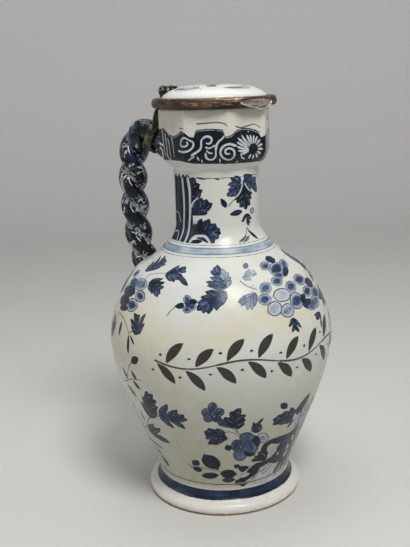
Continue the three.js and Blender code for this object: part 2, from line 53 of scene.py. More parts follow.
# %% [markdown]
# ## Camera, floor and light
#
# The camera stands half a metre away, as high as the lid, and looks down a little. Its place is worked
# out from angles, so each number says something: how far away, how high, how far round. A lens can also
# be set by a field of view. The focal length is used here, because a photographer thinks in it.

# %% Camera
CAMERA_DISTANCE = 526.0
CAMERA_HEIGHT = 272.56
CAMERA_AROUND = math.radians(31)
CAMERA_PITCH = 0.2332
CAMERA_ROLL = 0.03269
CAMERA_YAW = -0.01748
PICTURE_HEIGHT = 547
FOCAL_PIXELS = 822.8


def turn(angle, axis):
    return Matrix.Rotation(angle, 3, axis)


camera_data = bpy.data.cameras.new("camera")
camera_data.sensor_fit = "VERTICAL"
camera_data.sensor_height = 36
camera_data.lens = FOCAL_PIXELS / PICTURE_HEIGHT * camera_data.sensor_height
camera = bpy.data.objects.new("camera", camera_data)
bpy.context.scene.collection.objects.link(camera)
looking = turn(CAMERA_AROUND - CAMERA_YAW, "Z") @ turn(math.pi / 2 - CAMERA_PITCH, "X")
looking = looking @ turn(-CAMERA_ROLL, "Z")
standing = Vector((math.sin(CAMERA_AROUND), -math.cos(CAMERA_AROUND), 0)) * CAMERA_DISTANCE
standing.z = CAMERA_HEIGHT
camera.matrix_world = Matrix.Translation(standing * MM) @ looking.to_4x4()
bpy.context.scene.camera = camera
bpy.context.scene.view_settings.view_transform = "Standard"
print("lens", round(camera_data.lens, 2), "mm")

# %% [markdown]
# A floor that curves up into a backdrop has no horizon, so nothing competes with the jug. It could be a
# plane and a wall. One bent sheet avoids the line between them.

# %% Floor and backdrop
FLOOR_HALF_WIDTH = 2500
FLOOR_FRONT = 4000
FLOOR_BACK = 900
BACKDROP_BEND = 500
BACKDROP_HEIGHT = 2200
BEND_ROWS = 16


def mesh_object(name, points, faces):
    """An object from points in millimetres and faces that list their points."""
    mesh = bpy.data.meshes.new(name)
    faces = faces.tolist() if isinstance(faces, np.ndarray) else faces
    mesh.from_pydata((np.asarray(points, float) * MM).tolist(), [], faces)
    mesh.polygons.foreach_set("use_smooth", np.full(len(mesh.polygons), True))
    mesh.update()
    made = bpy.data.objects.new(name, mesh)
    bpy.context.scene.collection.objects.link(made)
    return made


def grid_faces(rows, columns, wrap):
    """Quads between rows of points, joined round into a tube where wrap is set."""
    index = np.arange(rows * columns).reshape(rows, columns)
    following = np.roll(index, -1, axis=1)
    quads = np.stack([index[:-1], following[:-1], following[1:], index[1:]], axis=-1)
    return (quads if wrap else quads[:, :-1]).reshape(-1, 4)


bend = np.linspace(0, math.pi / 2, BEND_ROWS)
sweep = [(-FLOOR_FRONT, 0), (FLOOR_BACK, 0)]
sweep += [(FLOOR_BACK + BACKDROP_BEND * math.sin(a), BACKDROP_BEND * (1 - math.cos(a))) for a in bend[1:]]
sweep += [(FLOOR_BACK + BACKDROP_BEND, BACKDROP_HEIGHT)]
rows = [[(-FLOOR_HALF_WIDTH, y, z), (FLOOR_HALF_WIDTH, y, z)] for y, z in sweep]
floor = mesh_object("floor", np.array(rows).reshape(-1, 3), grid_faces(len(rows), 2, wrap=False))
floor.rotation_euler.z = CAMERA_AROUND
print("backdrop with", len(rows), "rows")

# %% [markdown]
# Glazed clay shows every lamp as a small highlight, so the lamps are large and soft. One stands at the
# right, in front, one lights the left side less, and one hangs above. Sun lamps would be simpler, but
# their highlights are hard points.

# %% Lamps
AIM = (0, 0, 140)
# name, place, how far across, watts, tint
LAMPS = [
    ("key lamp", (470, -350, 970), 380, 7.0, (1.0, 0.99, 0.97)),
    ("fill lamp", (-620, -560, 420), 600, 0.9, (0.97, 0.98, 1.0)),
    ("top lamp", (-40, 120, 1000), 900, 2.9, (1.0, 1.0, 1.0)),
]

for name, place, across, watts, tint in LAMPS:
    data = bpy.data.lights.new(name, "AREA")
    data.shape = "DISK"
    data.size = across * MM
    data.energy = watts
    data.color = tint
    lamp = bpy.data.objects.new(name, data)
    bpy.context.scene.collection.objects.link(lamp)
    lamp.location = Vector(place) * MM
    way = Vector(AIM) * MM - lamp.location
    lamp.rotation_euler = way.to_track_quat("-Z", "Y").to_euler()

# %% [markdown]
# ## Writing shader maths as Python
#
# A material is a tree of nodes. Drawing wires between dozens of Math nodes is slow to read, so a small
# class wraps a socket and turns `a * b + c` into those nodes. Colours go through Mix nodes instead,
# because a Math node turns a colour grey.

# %% A socket that can be added and multiplied


class Value:
    """One output of a node. Arithmetic on it adds Math nodes to the same tree."""

    def __init__(self, nodes, socket):
        self.nodes = nodes
        self.socket = socket

    def math(self, operation, *others):
        inputs = dict(enumerate((self, *others)))
        return self.nodes.node("ShaderNodeMath", {"operation": operation}, inputs)

    def __add__(self, other):
        return self.math("ADD", other)

    __radd__ = __add__

    def __mul__(self, other):
        return self.math("MULTIPLY", other)

    __rmul__ = __mul__

    def __sub__(self, other):
        return self.math("SUBTRACT", other)

    def __rsub__(self, other):
        return self.nodes.node("ShaderNodeMath", {"operation": "SUBTRACT"}, {0: other, 1: self})

    def __abs__(self):
        return self.math("ABSOLUTE")

    def output(self, name):
        """Another output of the same node."""
        return Value(self.nodes, self.socket.node.outputs[name])

    def ramp(self, low, high, start=0.0, end=1.0):
        """Runs smoothly from start to end while the value goes from low to high."""
        settings = {"interpolation_type": "SMOOTHSTEP"}
        limits = {"Value": self, "From Min": low, "From Max": high, "To Min": start, "To Max": end}
        return self.nodes.node("ShaderNodeMapRange", settings, limits)


def lay_stops(ramp, stops):
    """Gives a colour ramp its stops, each a place from 0 to 1 and a colour."""
    for place, shade in stops[2:]:
        ramp.elements.new(place).color = shade
    for element, (place, shade) in zip(ramp.elements, sorted(stops)):
        element.position, element.color = place, shade


class Nodes:
    """A tree of nodes that is being made, of a material or of the world."""

    def __init__(self, owner):
        owner.use_nodes = True
        self.tree = owner.node_tree

    def node(self, kind, settings, inputs, output=0):
        """Adds a node, gives it its settings and what its inputs get, and returns one output."""
        made = self.tree.nodes.new(kind)
        for name, value in settings.items():
            if name == "stops":
                lay_stops(made.color_ramp, value)
            else:
                setattr(made, name, value)
        for name, value in inputs.items():
            self.feed(made.inputs[name], value)
        return Value(self, made.outputs[output])

    def feed(self, socket, value):
        if isinstance(value, Value):
            self.tree.links.new(value.socket, socket)
        else:
            socket.default_value = value

    def mix(self, share, below, above):
        """Below where share is 0 and above where it is 1, for colours."""
        inputs = {0: share, 6: below, 7: above}
        return self.node("ShaderNodeMix", {"data_type": "RGBA"}, inputs, 2)

    def seen(self):
        """1 where the camera looks, straight or by a reflection, and 0 for light that falls on things."""
        ray = self.node("ShaderNodeLightPath", {}, {}, "Is Camera Ray")
        return ray.math("MAXIMUM", ray.output("Is Glossy Ray"))


print("a socket can:", ", ".join(name for name in vars(Value) if not name.startswith("__")))

# %% [markdown]
# Every finish starts from the Principled shader. The class for it adds what this lesson needs again and
# again: cloudy noise of a given size, numbers stored in the mesh, height above the floor, and relief.

# %% A finish


class Finish(Nodes):
    """A node material that is being made: its nodes, and the shader that shows them."""

    def __init__(self, name):
        self.material = bpy.data.materials.new(name)
        super().__init__(self.material)
        self.shader = self.tree.nodes["Principled BSDF"]
        self.place = self.node("ShaderNodeTexCoord", {}, {}, "Object")

    def set(self, **values):
        """Sets or links sockets of the shader, such as base_color or roughness."""
        for name, value in values.items():
            title = name.replace("_", " ").title().replace("Ior", "IOR")
            self.feed(self.shader.inputs[title], value)

    def noise(self, size, detail=2.0, roughness=0.5, stretch=None):
        """Cloudy values from 0 to 1 whose lumps are about size millimetres across."""
        place = self.place
        if stretch:
            place = self.node("ShaderNodeMapping", {}, {"Vector": place, "Scale": stretch})
        inputs = {"Vector": place, "Scale": 1 / (size * MM), "Detail": detail, "Roughness": roughness}
        return self.node("ShaderNodeTexNoise", {}, inputs, "Fac")

    def attribute(self, name):
        return self.node("ShaderNodeAttribute", {"attribute_name": name}, {}, "Fac")

    def height(self):
        """Height above the floor, in millimetres."""
        return self.node("ShaderNodeSeparateXYZ", {}, {0: self.place}, "Z") * 1000

    def bump(self, relief, depth):
        """A Normal from a relief of values from 0 to 1 that is depth millimetres deep."""
        inputs = {"Height": relief, "Distance": depth * MM, "Strength": 1.0}
        self.set(normal=self.node("ShaderNodeBump", {}, inputs, "Normal"))


def colour(red, green, blue):
    """A colour as a painter reads it, 0 to 255, turned into the light that a shader mixes."""
    levels = [level / 255 for level in (red, green, blue)]
    return (*[v / 12.92 if v <= 0.04045 else ((v + 0.055) / 1.055) ** 2.4 for v in levels], 1.0)


def dress(piece, finish):
    piece.data.materials.clear()
    piece.data.materials.append(finish.material)


print("white as light:", colour(255, 255, 255))

# %% [markdown]
# The floor is pale and matt. Far from the lamps it would fall into shadow, and so would the room behind
# it. More lamps would also light the jug, so the far floor and the room are brighter only to the
# camera and in reflections. The jug is lit by a darker room.

# %% Pale floor and room
BACKDROP_LIFT = 0.3
LIFT_START = 0.35
LIFT_FULL = 2.8
ROOM_LIGHT = (0.17, 0.17, 0.17, 1)
ROOM_SEEN = (0.46, 0.46, 0.46, 1)

pale = Finish("pale floor")
pale.set(base_color=colour(216, 215, 212), roughness=0.9)
from_middle = pale.node("ShaderNodeVectorMath", {"operation": "LENGTH"}, {0: pale.place}, "Value")
lift = pale.seen() * from_middle.ramp(LIFT_START, LIFT_FULL, 0.0, BACKDROP_LIFT)
lifted = pale.mix(lift, colour(0, 0, 0), colour(255, 255, 255))
pale.set(emission_color=lifted, emission_strength=1.0)
dress(floor, pale)
world = bpy.data.worlds.new("room")
bpy.context.scene.world = world
room = Nodes(world)
room.feed(room.tree.nodes["Background"].inputs["Color"], room.mix(room.seen(), ROOM_LIGHT, ROOM_SEEN))
print("floor nodes:", len(pale.tree.nodes), "room nodes:", len(room.tree.nodes))

# %% [markdown]
# ## The jug's outline
#
# A thrown jug is drawn first as an outline from the foot to the mouth. Curves of few points make it, as
# in a template that a potter holds against the clay. The outline could be a mesh that a modifier
# spins, but here the turning is done in numbers, because the collar has eight sides and because the
# brushwork later needs to know where each point of the surface lies.

# %% Curves of few points
FOOT_RADIUS = 51.5
FOOT_EDGE_ROUND = 3.7
FOOT_EDGE_TURN = math.radians(66)
FOOT_COVE = 8.9
FOOT_RING_WIDTH = 4.6
FOOT_HOLLOW = 4
FOOT_HOLLOW_SLOPE = 1.6
WAIST = (44.4, 14.6)
BELLY = (73.2, 109.1)
SHOULDER = (52, 155.2)
SHOULDER_ALONG = np.array([-math.cos(math.radians(25)), math.sin(math.radians(25))])
SHOULDER_FULLNESS = 6.2
NECK_RADIUS = 27.4
NECK_FOOT = 182.8
COLLAR_FOOT = 217.0
COLLAR_WALL_FOOT = 229.5
COLLAR_TOP = 254.9
COLLAR_APOTHEM = 33.4
COLLAR_EDGE_ROUND = 1.3
MOUTH_RADIUS = 29.3
WALL = 5.0
FLOOR_HEIGHT = 9.5


def bezier(*points, count=48):
    """Points along a Bezier curve."""
    share = np.linspace(0, 1, count)[:, None]
    degree = len(points) - 1
    weight = [math.comb(degree, i) * (1 - share) ** (degree - i) * share**i for i in range(degree + 1)]
    return sum(w * np.asarray(p, float) for w, p in zip(weight, points))


def arc(middle, radius, start, end, count=12):
    angle = np.linspace(start, end, count)
    return np.stack([middle[0] + radius * np.cos(angle), middle[1] + radius * np.sin(angle)], axis=1)


def unit(vectors):
    """The same directions, each one long."""
    return vectors / np.linalg.norm(vectors, axis=-1, keepdims=True)


def lengths(points):
    """How far along a line of points each of them lies."""
    steps = np.linalg.norm(np.diff(points, axis=0), axis=1)
    return np.concatenate([[0], np.cumsum(steps)])


def evenly(points, step):
    """The same line with points about a step apart."""
    points = np.asarray(points, float)
    far = lengths(points)
    places = np.linspace(0, far[-1], max(2, round(far[-1] / step) + 1))
    return np.stack([np.interp(places, far, points[:, k]) for k in range(points.shape[1])], axis=1)


shoulder = np.array(SHOULDER, float)
foot_middle = (FOOT_RADIUS - FOOT_EDGE_ROUND, FOOT_EDGE_ROUND)
foot_edge = arc(foot_middle, FOOT_EDGE_ROUND, -math.pi / 2, FOOT_EDGE_TURN)
ring_inner = foot_middle[0] - FOOT_RING_WIDTH
cove = bezier(foot_edge[-1], (WAIST[0], FOOT_COVE), WAIST)
lower = bezier(WAIST, (WAIST[0], 26.0), (BELLY[0], 78.1), BELLY)
upper = bezier(BELLY, (BELLY[0], 129.1), shoulder - SHOULDER_ALONG * SHOULDER_FULLNESS, shoulder)
leaning = SHOULDER_ALONG * SHOULDER_FULLNESS
neck_sweep = bezier(shoulder, shoulder + leaning, (NECK_RADIUS, 171.8), (NECK_RADIUS, NECK_FOOT))
bowl_end = (COLLAR_APOTHEM, COLLAR_WALL_FOOT)
bowl = bezier((NECK_RADIUS, COLLAR_FOOT), (NECK_RADIUS, 220.4), (COLLAR_APOTHEM, 220.4), bowl_end)
edge_middle = (COLLAR_APOTHEM - COLLAR_EDGE_ROUND, COLLAR_TOP - COLLAR_EDGE_ROUND)
lip_middle = (MOUTH_RADIUS + COLLAR_EDGE_ROUND, COLLAR_TOP - COLLAR_EDGE_ROUND)
collar_edge = arc(edge_middle, COLLAR_EDGE_ROUND, 0, math.pi / 2, 6)
lip = arc(lip_middle, COLLAR_EDGE_ROUND, math.pi / 2, math.pi, 6)
body_curves = np.concatenate([lower, upper[1:], neck_sweep[1:]])
hollow = [(ring_inner - FOOT_HOLLOW_SLOPE, FOOT_HOLLOW), (ring_inner, 0)]
outside = np.concatenate([hollow, foot_edge, cove[1:], body_curves[1:], bowl])
print("outline from the foot to the collar:", round(lengths(outside)[-1]), "mm long")

# %% [markdown]
# The inside of the jug follows the outside at the thickness of the wall. It matters when the lid is
# open. The rows of points lie a little over a millimetre apart outside, where the brushwork is, and
# further apart inside.

# %% Rows of the outline
ROW_STEP = 1.12
INSIDE_STEP = 9.0
EDGE_STEP = 0.6


def offset(points, distance):
    """A line moved sideways: outwards where the distance is positive."""
    run = unit(np.gradient(points, axis=0))
    return points + distance * np.stack([run[:, 1], -run[:, 0]], axis=1)


body_inside = offset(body_curves, -WALL)
body_inside = body_inside[body_inside[:, 1] > FLOOR_HEIGHT + 6]
throat, mouth_foot = NECK_RADIUS - WALL, (MOUTH_RADIUS, COLLAR_WALL_FOOT)
mouth_curve = bezier((throat, COLLAR_FOOT), (throat, 223.3), (MOUTH_RADIUS, 223.3), mouth_foot)
floor_curve = bezier((2.0, FLOOR_HEIGHT), (body_inside[0][0] - 2, FLOOR_HEIGHT), body_inside[0])
inside = np.concatenate([floor_curve, body_inside[1:], mouth_curve, [(MOUTH_RADIUS, lip_middle[1])]])[::-1]
outside_rows = evenly(np.concatenate([outside, [(COLLAR_APOTHEM, edge_middle[1])]]), ROW_STEP)
edge_rows = evenly(np.concatenate([collar_edge, lip]), EDGE_STEP)
inside_rows = evenly(inside, INSIDE_STEP)
jug_rows = np.concatenate([outside_rows, edge_rows[1:], inside_rows[1:]])
print(len(outside_rows), "rows outside,", len(jug_rows), "in all")

# %% [markdown]
# Round the collar the clay was pared into eight flat sides. Their arrises are softened by the glaze, so
# each corner is a small arc. The sides fade into the round neck over the height of the bowl.

# %% Eight soft sides
COLUMNS = 328
SIDE_ANGLE = math.radians(45)
ARRIS_ROUND = 3.0
UNEVENNESS = 0.35


def smooth(value, low, high):
    """Runs smoothly from 0 to 1 while the value goes from low to high."""
    share = np.clip((value - low) / (high - low), 0, 1)
    return share * share * (3 - 2 * share)


def eight_sided(angle, reach):
    """How far out a soft octagon lies at an angle. Reach is to the middles of its sides."""
    from_side = np.abs(np.mod(angle, SIDE_ANGLE) - SIDE_ANGLE / 2)
    from_arris = SIDE_ANGLE / 2 - from_side
    corner = (reach - ARRIS_ROUND) / math.cos(SIDE_ANGLE / 2)
    under_root = np.maximum(ARRIS_ROUND**2 - (corner * np.sin(from_arris)) ** 2, 0)
    on_flat = reach * np.tan(from_side) <= (reach - ARRIS_ROUND) * math.tan(SIDE_ANGLE / 2)
    return np.where(on_flat, reach / np.cos(from_side), corner * np.cos(from_arris) + np.sqrt(under_root))


def hand_made(angle, height):
    """A slow unevenness from 0 to 1, as a potter's hands leave it."""
    wave = np.sin(2 * angle + height / 31 + 0.6) + 0.7 * np.sin(3 * angle - height / 19 + 2.1)
    wave = wave + 0.5 * np.sin(5 * angle + height / 11) + 0.35 * np.sin(angle + height / 7.0)
    return 0.5 + wave / 5.1


def jug_reach(angle, radius, height):
    """How far out the jug's outside lies where its outline has a radius and a height."""
    flatness = smooth(height, COLLAR_FOOT, COLLAR_WALL_FOOT)
    pared = radius + (eight_sided(angle, radius) - radius) * flatness
    return pared - UNEVENNESS * hand_made(angle, height) * smooth(height, 2, 20)


def all_round(count):
    """So many angles, evenly round a circle."""
    return np.arange(count) * 2 * math.pi / count


columns = all_round(COLUMNS)


def turned_rings(rows, angles, reach=None):
    """Rings of points round the Z axis, one for each row of radius and height."""
    rings = []
    for radius, height in rows:
        out = np.full(len(angles), radius) if reach is None else reach(angles, radius, height)
        ring = [out * np.cos(angles), out * np.sin(angles), np.full(len(angles), height)]
        rings.append(np.stack(ring, axis=1))
    return np.array(rings)


def closed_tube(rings):
    """Points and faces of a tube through the rings, closed at both ends with a fan."""
    count, around = rings.shape[:2]
    points = np.concatenate([rings.reshape(-1, 3), [rings[0].mean(axis=0), rings[-1].mean(axis=0)]])
    faces = grid_faces(count, around, wrap=True).tolist()
    last = (count - 1) * around
    for j in range(around):
        following = (j + 1) % around
        faces.append([count * around, following, j])
        faces.append([count * around + 1, last + j, last + following])
    return points, faces


is_inside_row = np.arange(len(jug_rows)) >= len(outside_rows) + len(edge_rows) - 1
jug_rings = turned_rings(jug_rows[~is_inside_row], columns, jug_reach)
inner_rings = turned_rings(jug_rows[is_inside_row], columns)
jug_rings = np.concatenate([jug_rings, inner_rings])
print("collar across its sides:", round(2 * eight_sided(SIDE_ANGLE / 2, COLLAR_APOTHEM), 1), "mm")

# %% Make the jug's skin
jug_points, jug_faces = closed_tube(jug_rings)
jug_skin = mesh_object("jug_skin", jug_points, jug_faces)
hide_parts("jug_body")
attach(jug_skin, "jug")
print("skin:", len(jug_faces), "faces")

# %% [markdown]
# ## The handle's middle line
#
# Root, rope and band all follow one curve that leaves the collar, bends over and runs down to the
# shoulder. It passes through ten points. A Bezier curve object could hold it, but then its directions
# would be harder to read, and the strands need a direction at each step.

# %% A smooth line through given points
HANDLE_POINTS = [
    (25.2, 228.9), (45.7, 234.6), (55.5, 239.3), (62.0, 232.1), (65.6, 215.3),
    (65.6, 194.25), (64.1, 173.2), (60.8, 158.2), (57.0, 147.2), (52.0, 139.2),
]
BAND_REACH = 45.7


def smooth_line(points, steps=40):
    """A line through all the points that bends evenly, with the ends run on straight."""
    points = np.asarray(points, float)
    ends = [2 * points[0] - points[1], 2 * points[-1] - points[-2]]
    points = np.concatenate([[ends[0]], points, [ends[1]]])
    line = []
    for a, b, c, d in zip(points, points[1:], points[2:], points[3:]):
        ab, bc, cd = [math.sqrt(np.linalg.norm(q - p)) for p, q in ((a, b), (b, c), (c, d))]
        leaving = ((b - a) / ab - (c - a) / (ab + bc) + (c - b) / bc) * bc
        arriving = ((c - b) / bc - (d - b) / (bc + cd) + (d - c) / cd) * bc
        t = np.linspace(0, 1, steps, endpoint=False)[:, None]
        square, cube = 3 * (c - b) - 2 * leaving - arriving, 2 * (b - c) + leaving + arriving
        line.append(b + leaving * t + square * t**2 + cube * t**3)
    return np.concatenate([*line, [points[-2]]])


handle_line = smooth_line([(-reach, 0, height) for reach, height in HANDLE_POINTS])
handle_run = lengths(handle_line)
handle_way = unit(np.gradient(handle_line, axis=0))
farthest = handle_line[:, 0].argmin()
band_run = float(np.interp(BAND_REACH, -handle_line[:farthest, 0], handle_run[:farthest]))
SIDEWAYS = np.array([0.0, 1.0, 0.0])


def at_run(run):
    """Middle, direction and outward direction of the handle, at distances along it."""
    run = np.asarray(run, float)
    middle, way = [np.stack([np.interp(run, handle_run, values[:, k]) for k in range(3)], axis=-1)
                   for values in (handle_line, handle_way)]
    way = unit(way)
    return middle, way, np.cross(SIDEWAYS, way)


print("handle", round(handle_run[-1], 1), "mm long, band at", round(band_run, 1))

# %% [markdown]
# ## Two strands of clay
#
# Each strand is a tube that winds round the middle line, and the two are pressed into each other. The
# potter rolled them, twisted them and let them sink into the root above and the shoulder below. A curve
# with a round bevel would do for a cord. Here the rings are worked out one by one, so that a strand can
# thin, start round in the root and flatten where it meets the jug.

# %% Strands
STRAND_TOP_RADIUS = 6.0
STRAND_SEAT_RADIUS = 5.35
STRAND_APART = 0.72
ROPE_LAY = 37.5
ROPE_PHASE = math.radians(40)
STRAND_START = 2.3
STRAND_ROUND = 4.2
STRAND_STEPS = 270
STRAND_SIDES = 26
SINK = 3.4
ROWS_UNDER_FOOT = 5


def wall_at(points):
    """For points: their angle, how far out they are, and how far out the jug's wall is there."""
    angle = np.arctan2(points[..., 1], points[..., 0])
    height = points[..., 2]
    rows = outside_rows[ROWS_UNDER_FOOT:]
    wall = jug_reach(angle, np.interp(height, rows[:, 1], rows[:, 0]), height)
    return angle, np.hypot(points[..., 0], points[..., 1]), wall


def out_of_hollow(points):
    """Moves points that lie too deep in the jug's wall out to where the clay sinks in."""
    angle, reach, wall = wall_at(points)
    reach = np.maximum(reach, wall - SINK)
    return np.stack([reach * np.cos(angle), reach * np.sin(angle), points[..., 2]], axis=-1)


def bar_rings(line, radii, level, across, sides):
    """Rings of a round bar along a line, from its radii and two directions square to it."""
    around = all_round(sides)
    rings = [m + r * (np.outer(np.cos(around), l) + np.outer(np.sin(around), a))
             for m, r, l, a in zip(line, radii, level, across)]
    return np.array(rings)


def strand_rings(turned_by):
    run = np.linspace(band_run + STRAND_START, handle_run[-1], STRAND_STEPS)
    part = (run - band_run) / (handle_run[-1] - band_run)
    middle, _, outwards = at_run(run)
    angle = (ROPE_PHASE + turned_by - 2 * math.pi * (run - band_run) / ROPE_LAY)[:, None]
    side = outwards * np.cos(angle) + SIDEWAYS * np.sin(angle)
    start = np.clip((run - run[0]) / STRAND_ROUND, 0.003, 1)
    radius = STRAND_TOP_RADIUS + (STRAND_SEAT_RADIUS - STRAND_TOP_RADIUS) * part
    radius = (radius * np.sqrt(1 - (1 - start) ** 2))[:, None]
    middle = middle + side * radius * STRAND_APART
    along = unit(np.gradient(middle, axis=0))
    across = unit(np.cross(along, side))
    return out_of_hollow(bar_rings(middle, radius, np.cross(across, along), across, STRAND_SIDES))


def mark(piece, name, values):
    """Stores a number with each point of a piece."""
    stored = piece.data.attributes.new(name, "FLOAT", "POINT")
    stored.data.foreach_set("value", np.float32(values))


# how far out a point is: 1 on a strand's crest, 0 or less in the groove beside it
strands = []
crest = np.cos(all_round(STRAND_SIDES))
for name, turned_by in (("a", 0), ("b", math.pi)):
    strand = mesh_object(f"handle_strand_{name}_glazed", *closed_tube(strand_rings(turned_by)))
    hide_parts(f"handle_strand_{name}")
    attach(strand, "jug")
    mark(strand, "crest", np.append(np.tile(crest, STRAND_STEPS), (1, 1)))
    strands.append(strand)
print("strands:", [len(strand.data.polygons) for strand in strands], "faces")

# %% [markdown]
# ## The root of the handle
#
# The root is a knob of clay, pressed on the collar and narrowed where the metal band grips it. Each
# line of points along it starts just under the glaze of the collar, found by walking out along the
# handle, so nothing shows inside the mouth. A small flare at the start is the clay smeared on to hold
# it. A plain cylinder pushed into the collar would be simpler, but it would show inside.

# %% Root knob
ROOT_RADIUS = 10.3
ROOT_NECK_RADIUS = 8.0
ROOT_FLARE = 2.2
FLARE_LENGTH = 1.6
ROOT_STEPS = 40
ROOT_SIDES = 72
ROOT_END = 3.5
UNDER_GLAZE = 0.6

root_end_run = band_run + ROOT_END
root_walk = np.linspace(0, root_end_run, 400)


def root_radius(run, start):
    """Radius of the knob at a distance along the handle, flared where it leaves the collar."""
    swell = np.sin(math.pi * np.clip(run / (band_run - ROOT_END), 0, 1))
    flare = np.exp(-(run - start) / FLARE_LENGTH)
    return ROOT_NECK_RADIUS + (ROOT_RADIUS - ROOT_NECK_RADIUS) * swell + ROOT_FLARE * flare


def root_side(run, start, angle):
    """Points on one side of the knob, at distances along the handle."""
    middle, _, outwards = at_run(run)
    side = outwards * math.cos(angle) + SIDEWAYS * math.sin(angle)
    return middle + side * root_radius(run, start)[:, None]


def root_line(angle):
    """One line of points from under the collar's glaze to the knob's end."""
    _, reach, wall = wall_at(root_side(root_walk, root_walk, angle))
    start = root_walk[np.argmax(reach > wall - UNDER_GLAZE)]
    run = start + (root_end_run - start) * np.linspace(0, 1, ROOT_STEPS) ** 1.4
    return root_side(run, start, angle)


root_rings = np.stack([root_line(angle) for angle in all_round(ROOT_SIDES)], axis=1)
handle_root = mesh_object("handle_root", *closed_tube(root_rings))
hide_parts("jug_body")
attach(handle_root, "jug")
mark(handle_root, "crest", np.full(len(handle_root.data.vertices), 0.6))
print("root:", len(handle_root.data.polygons), "faces")

# %% [markdown]
# ## Band and strap
#
# A strip of brass is bent round the root, and a strap rises from it to the hinge. Sheet metal that was
# bent and hammered by hand has no sharp edges. The plain forms are joined first, then a voxel remesh
# melts them into one skin and a smoothing rounds every corner, as solder and filing do.

# %% Forms on the root, and forms melted together
BAND_INNER = 8.3
BAND_OUTER = 9.3
BAND_WIDTH = 6.4
SADDLE_INNER = 9.6
SADDLE_OUTER = 10.6
SADDLE_ANGLE = math.radians(116)
SECTION_CORNER = 5


def ring_section(inner, outer, low, high, round_by):
    """A rounded oblong section of (radius, height) points, counter-clockwise."""
    outer_middle, inner_middle = outer - round_by, inner + round_by
    low_middle, high_middle = low + round_by, high - round_by
    middles = [(outer_middle, low_middle, -90), (outer_middle, high_middle, 0),
               (inner_middle, high_middle, 90), (inner_middle, low_middle, 180)]
    section = []
    for x, y, start in middles:
        section.extend(arc((x, y), round_by, math.radians(start), math.radians(start + 90), SECTION_CORNER))
    return np.array(section)


def on_root(points):
    """Places a form that was made about the Z axis round the root, square to it."""
    middle, way, outwards = at_run(band_run)
    return middle + points[..., :1] * outwards + points[..., 1:2] * SIDEWAYS + points[..., 2:] * way


def swept(section, angles):
    """Rings of one section of radius and height, carried round the Z axis."""
    return np.array([[(r * math.cos(a), r * math.sin(a), z) for r, z in section] for a in angles])


def hoop(rings):
    """Points and faces of rings that close round into a hoop."""
    points = rings.reshape(-1, 3)
    faces = grid_faces(len(rings) + 1, rings.shape[1], wrap=True) % len(points)
    return points, faces[:, ::-1]


def joined(*parts):
    """Several closed tubes in one list of points and faces."""
    points, faces = [], []
    for part_points, part_faces in parts:
        first = sum(len(p) for p in points)
        points.append(np.asarray(part_points))
        faces += [[i + first for i in face] for face in part_faces]
    return np.concatenate(points), faces


def melted(name, voxel, parts):
    """An object whose overlapping parts are fused into one skin with soft corners."""
    made = mesh_object(name, *joined(*parts))
    remesh = made.modifiers.new("melt", "REMESH")
    remesh.mode = "VOXEL"
    remesh.voxel_size = voxel * MM
    remesh.use_smooth_shade = True
    soften = made.modifiers.new("file", "SMOOTH")
    soften.factor = 0.5
    soften.iterations = 2
    graph = bpy.context.evaluated_depsgraph_get()
    mesh = bpy.data.meshes.new_from_object(made.evaluated_get(graph), depsgraph=graph)
    made.modifiers.clear()
    made.data = mesh
    return made


band_section = ring_section(BAND_INNER, BAND_OUTER, -BAND_WIDTH / 2, BAND_WIDTH / 2, 0.35)
band_rings = on_root(swept(band_section, np.linspace(0, 2 * math.pi, 120, endpoint=False)))
handle_band = mesh_object("handle_band_bent", *hoop(band_rings))
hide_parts("handle_band")
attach(handle_band, "jug")
print("band:", len(handle_band.data.polygons), "faces")

# %% Strap, saddle and middle knuckle
HINGE = np.array([-42.7, 0, 257.2])
KNUCKLE_RADIUS = 2.0
STRAP_VOXEL = 0.22
STRAP_HALF_THICKNESS = 0.7
STRAP_NECK = 1.6
STRAP_NECK_LENGTH = 3.2
STRAP_SWELL = 0.48
STRAP_INSET = 0.4
STRAP_RUN_ON = 3.2
OBLONG_POINTS = 20
OBLONG_POWER = 0.4


def oblong(width, height, right, up):
    """A ring of points: an oblong with well rounded ends, half as wide and high as said."""
    angle = all_round(OBLONG_POINTS)
    x, y = [np.sign(way) * np.abs(way) ** OBLONG_POWER for way in (np.cos(angle), np.sin(angle))]
    return x[:, None] * width * right + y[:, None] * height * up


root_middle, _, root_out = at_run(band_run)
strap_down = root_middle + root_out * SADDLE_INNER - HINGE
strap_length = float(np.linalg.norm(strap_down))
strap_down /= strap_length
strap_facing = np.cross(SIDEWAYS, -strap_down)
saddle_half = SADDLE_OUTER * math.sin(SADDLE_ANGLE / 2) - STRAP_INSET
strap_rings = []
for drop in np.linspace(0.5, strap_length + STRAP_RUN_ON, 60):
    flare = np.clip((drop - STRAP_NECK_LENGTH) / (strap_length - STRAP_NECK_LENGTH), 0, 1)
    half = STRAP_NECK + (saddle_half - STRAP_NECK) * flare**STRAP_SWELL
    ring = oblong(half, STRAP_HALF_THICKNESS, SIDEWAYS, strap_facing)
    strap_rings.append(HINGE + strap_down * drop + ring)
saddle_section = ring_section(SADDLE_INNER, SADDLE_OUTER, -BAND_WIDTH / 2, BAND_WIDTH / 2, 0.3)
saddle_angles = np.linspace(-SADDLE_ANGLE / 2, SADDLE_ANGLE / 2, 60)
saddle = closed_tube(on_root(swept(saddle_section, saddle_angles))[::-1])


def bar_across(middle, radius, half, sides, steps):
    """A short round bar that lies across the handle's plane."""
    angle = all_round(sides)
    circle = np.stack([np.cos(angle), angle * 0, np.sin(angle)], axis=1) * radius
    rings = [middle + circle + SIDEWAYS * place for place in np.linspace(-half, half, steps)]
    return closed_tube(np.array(rings)[::-1])


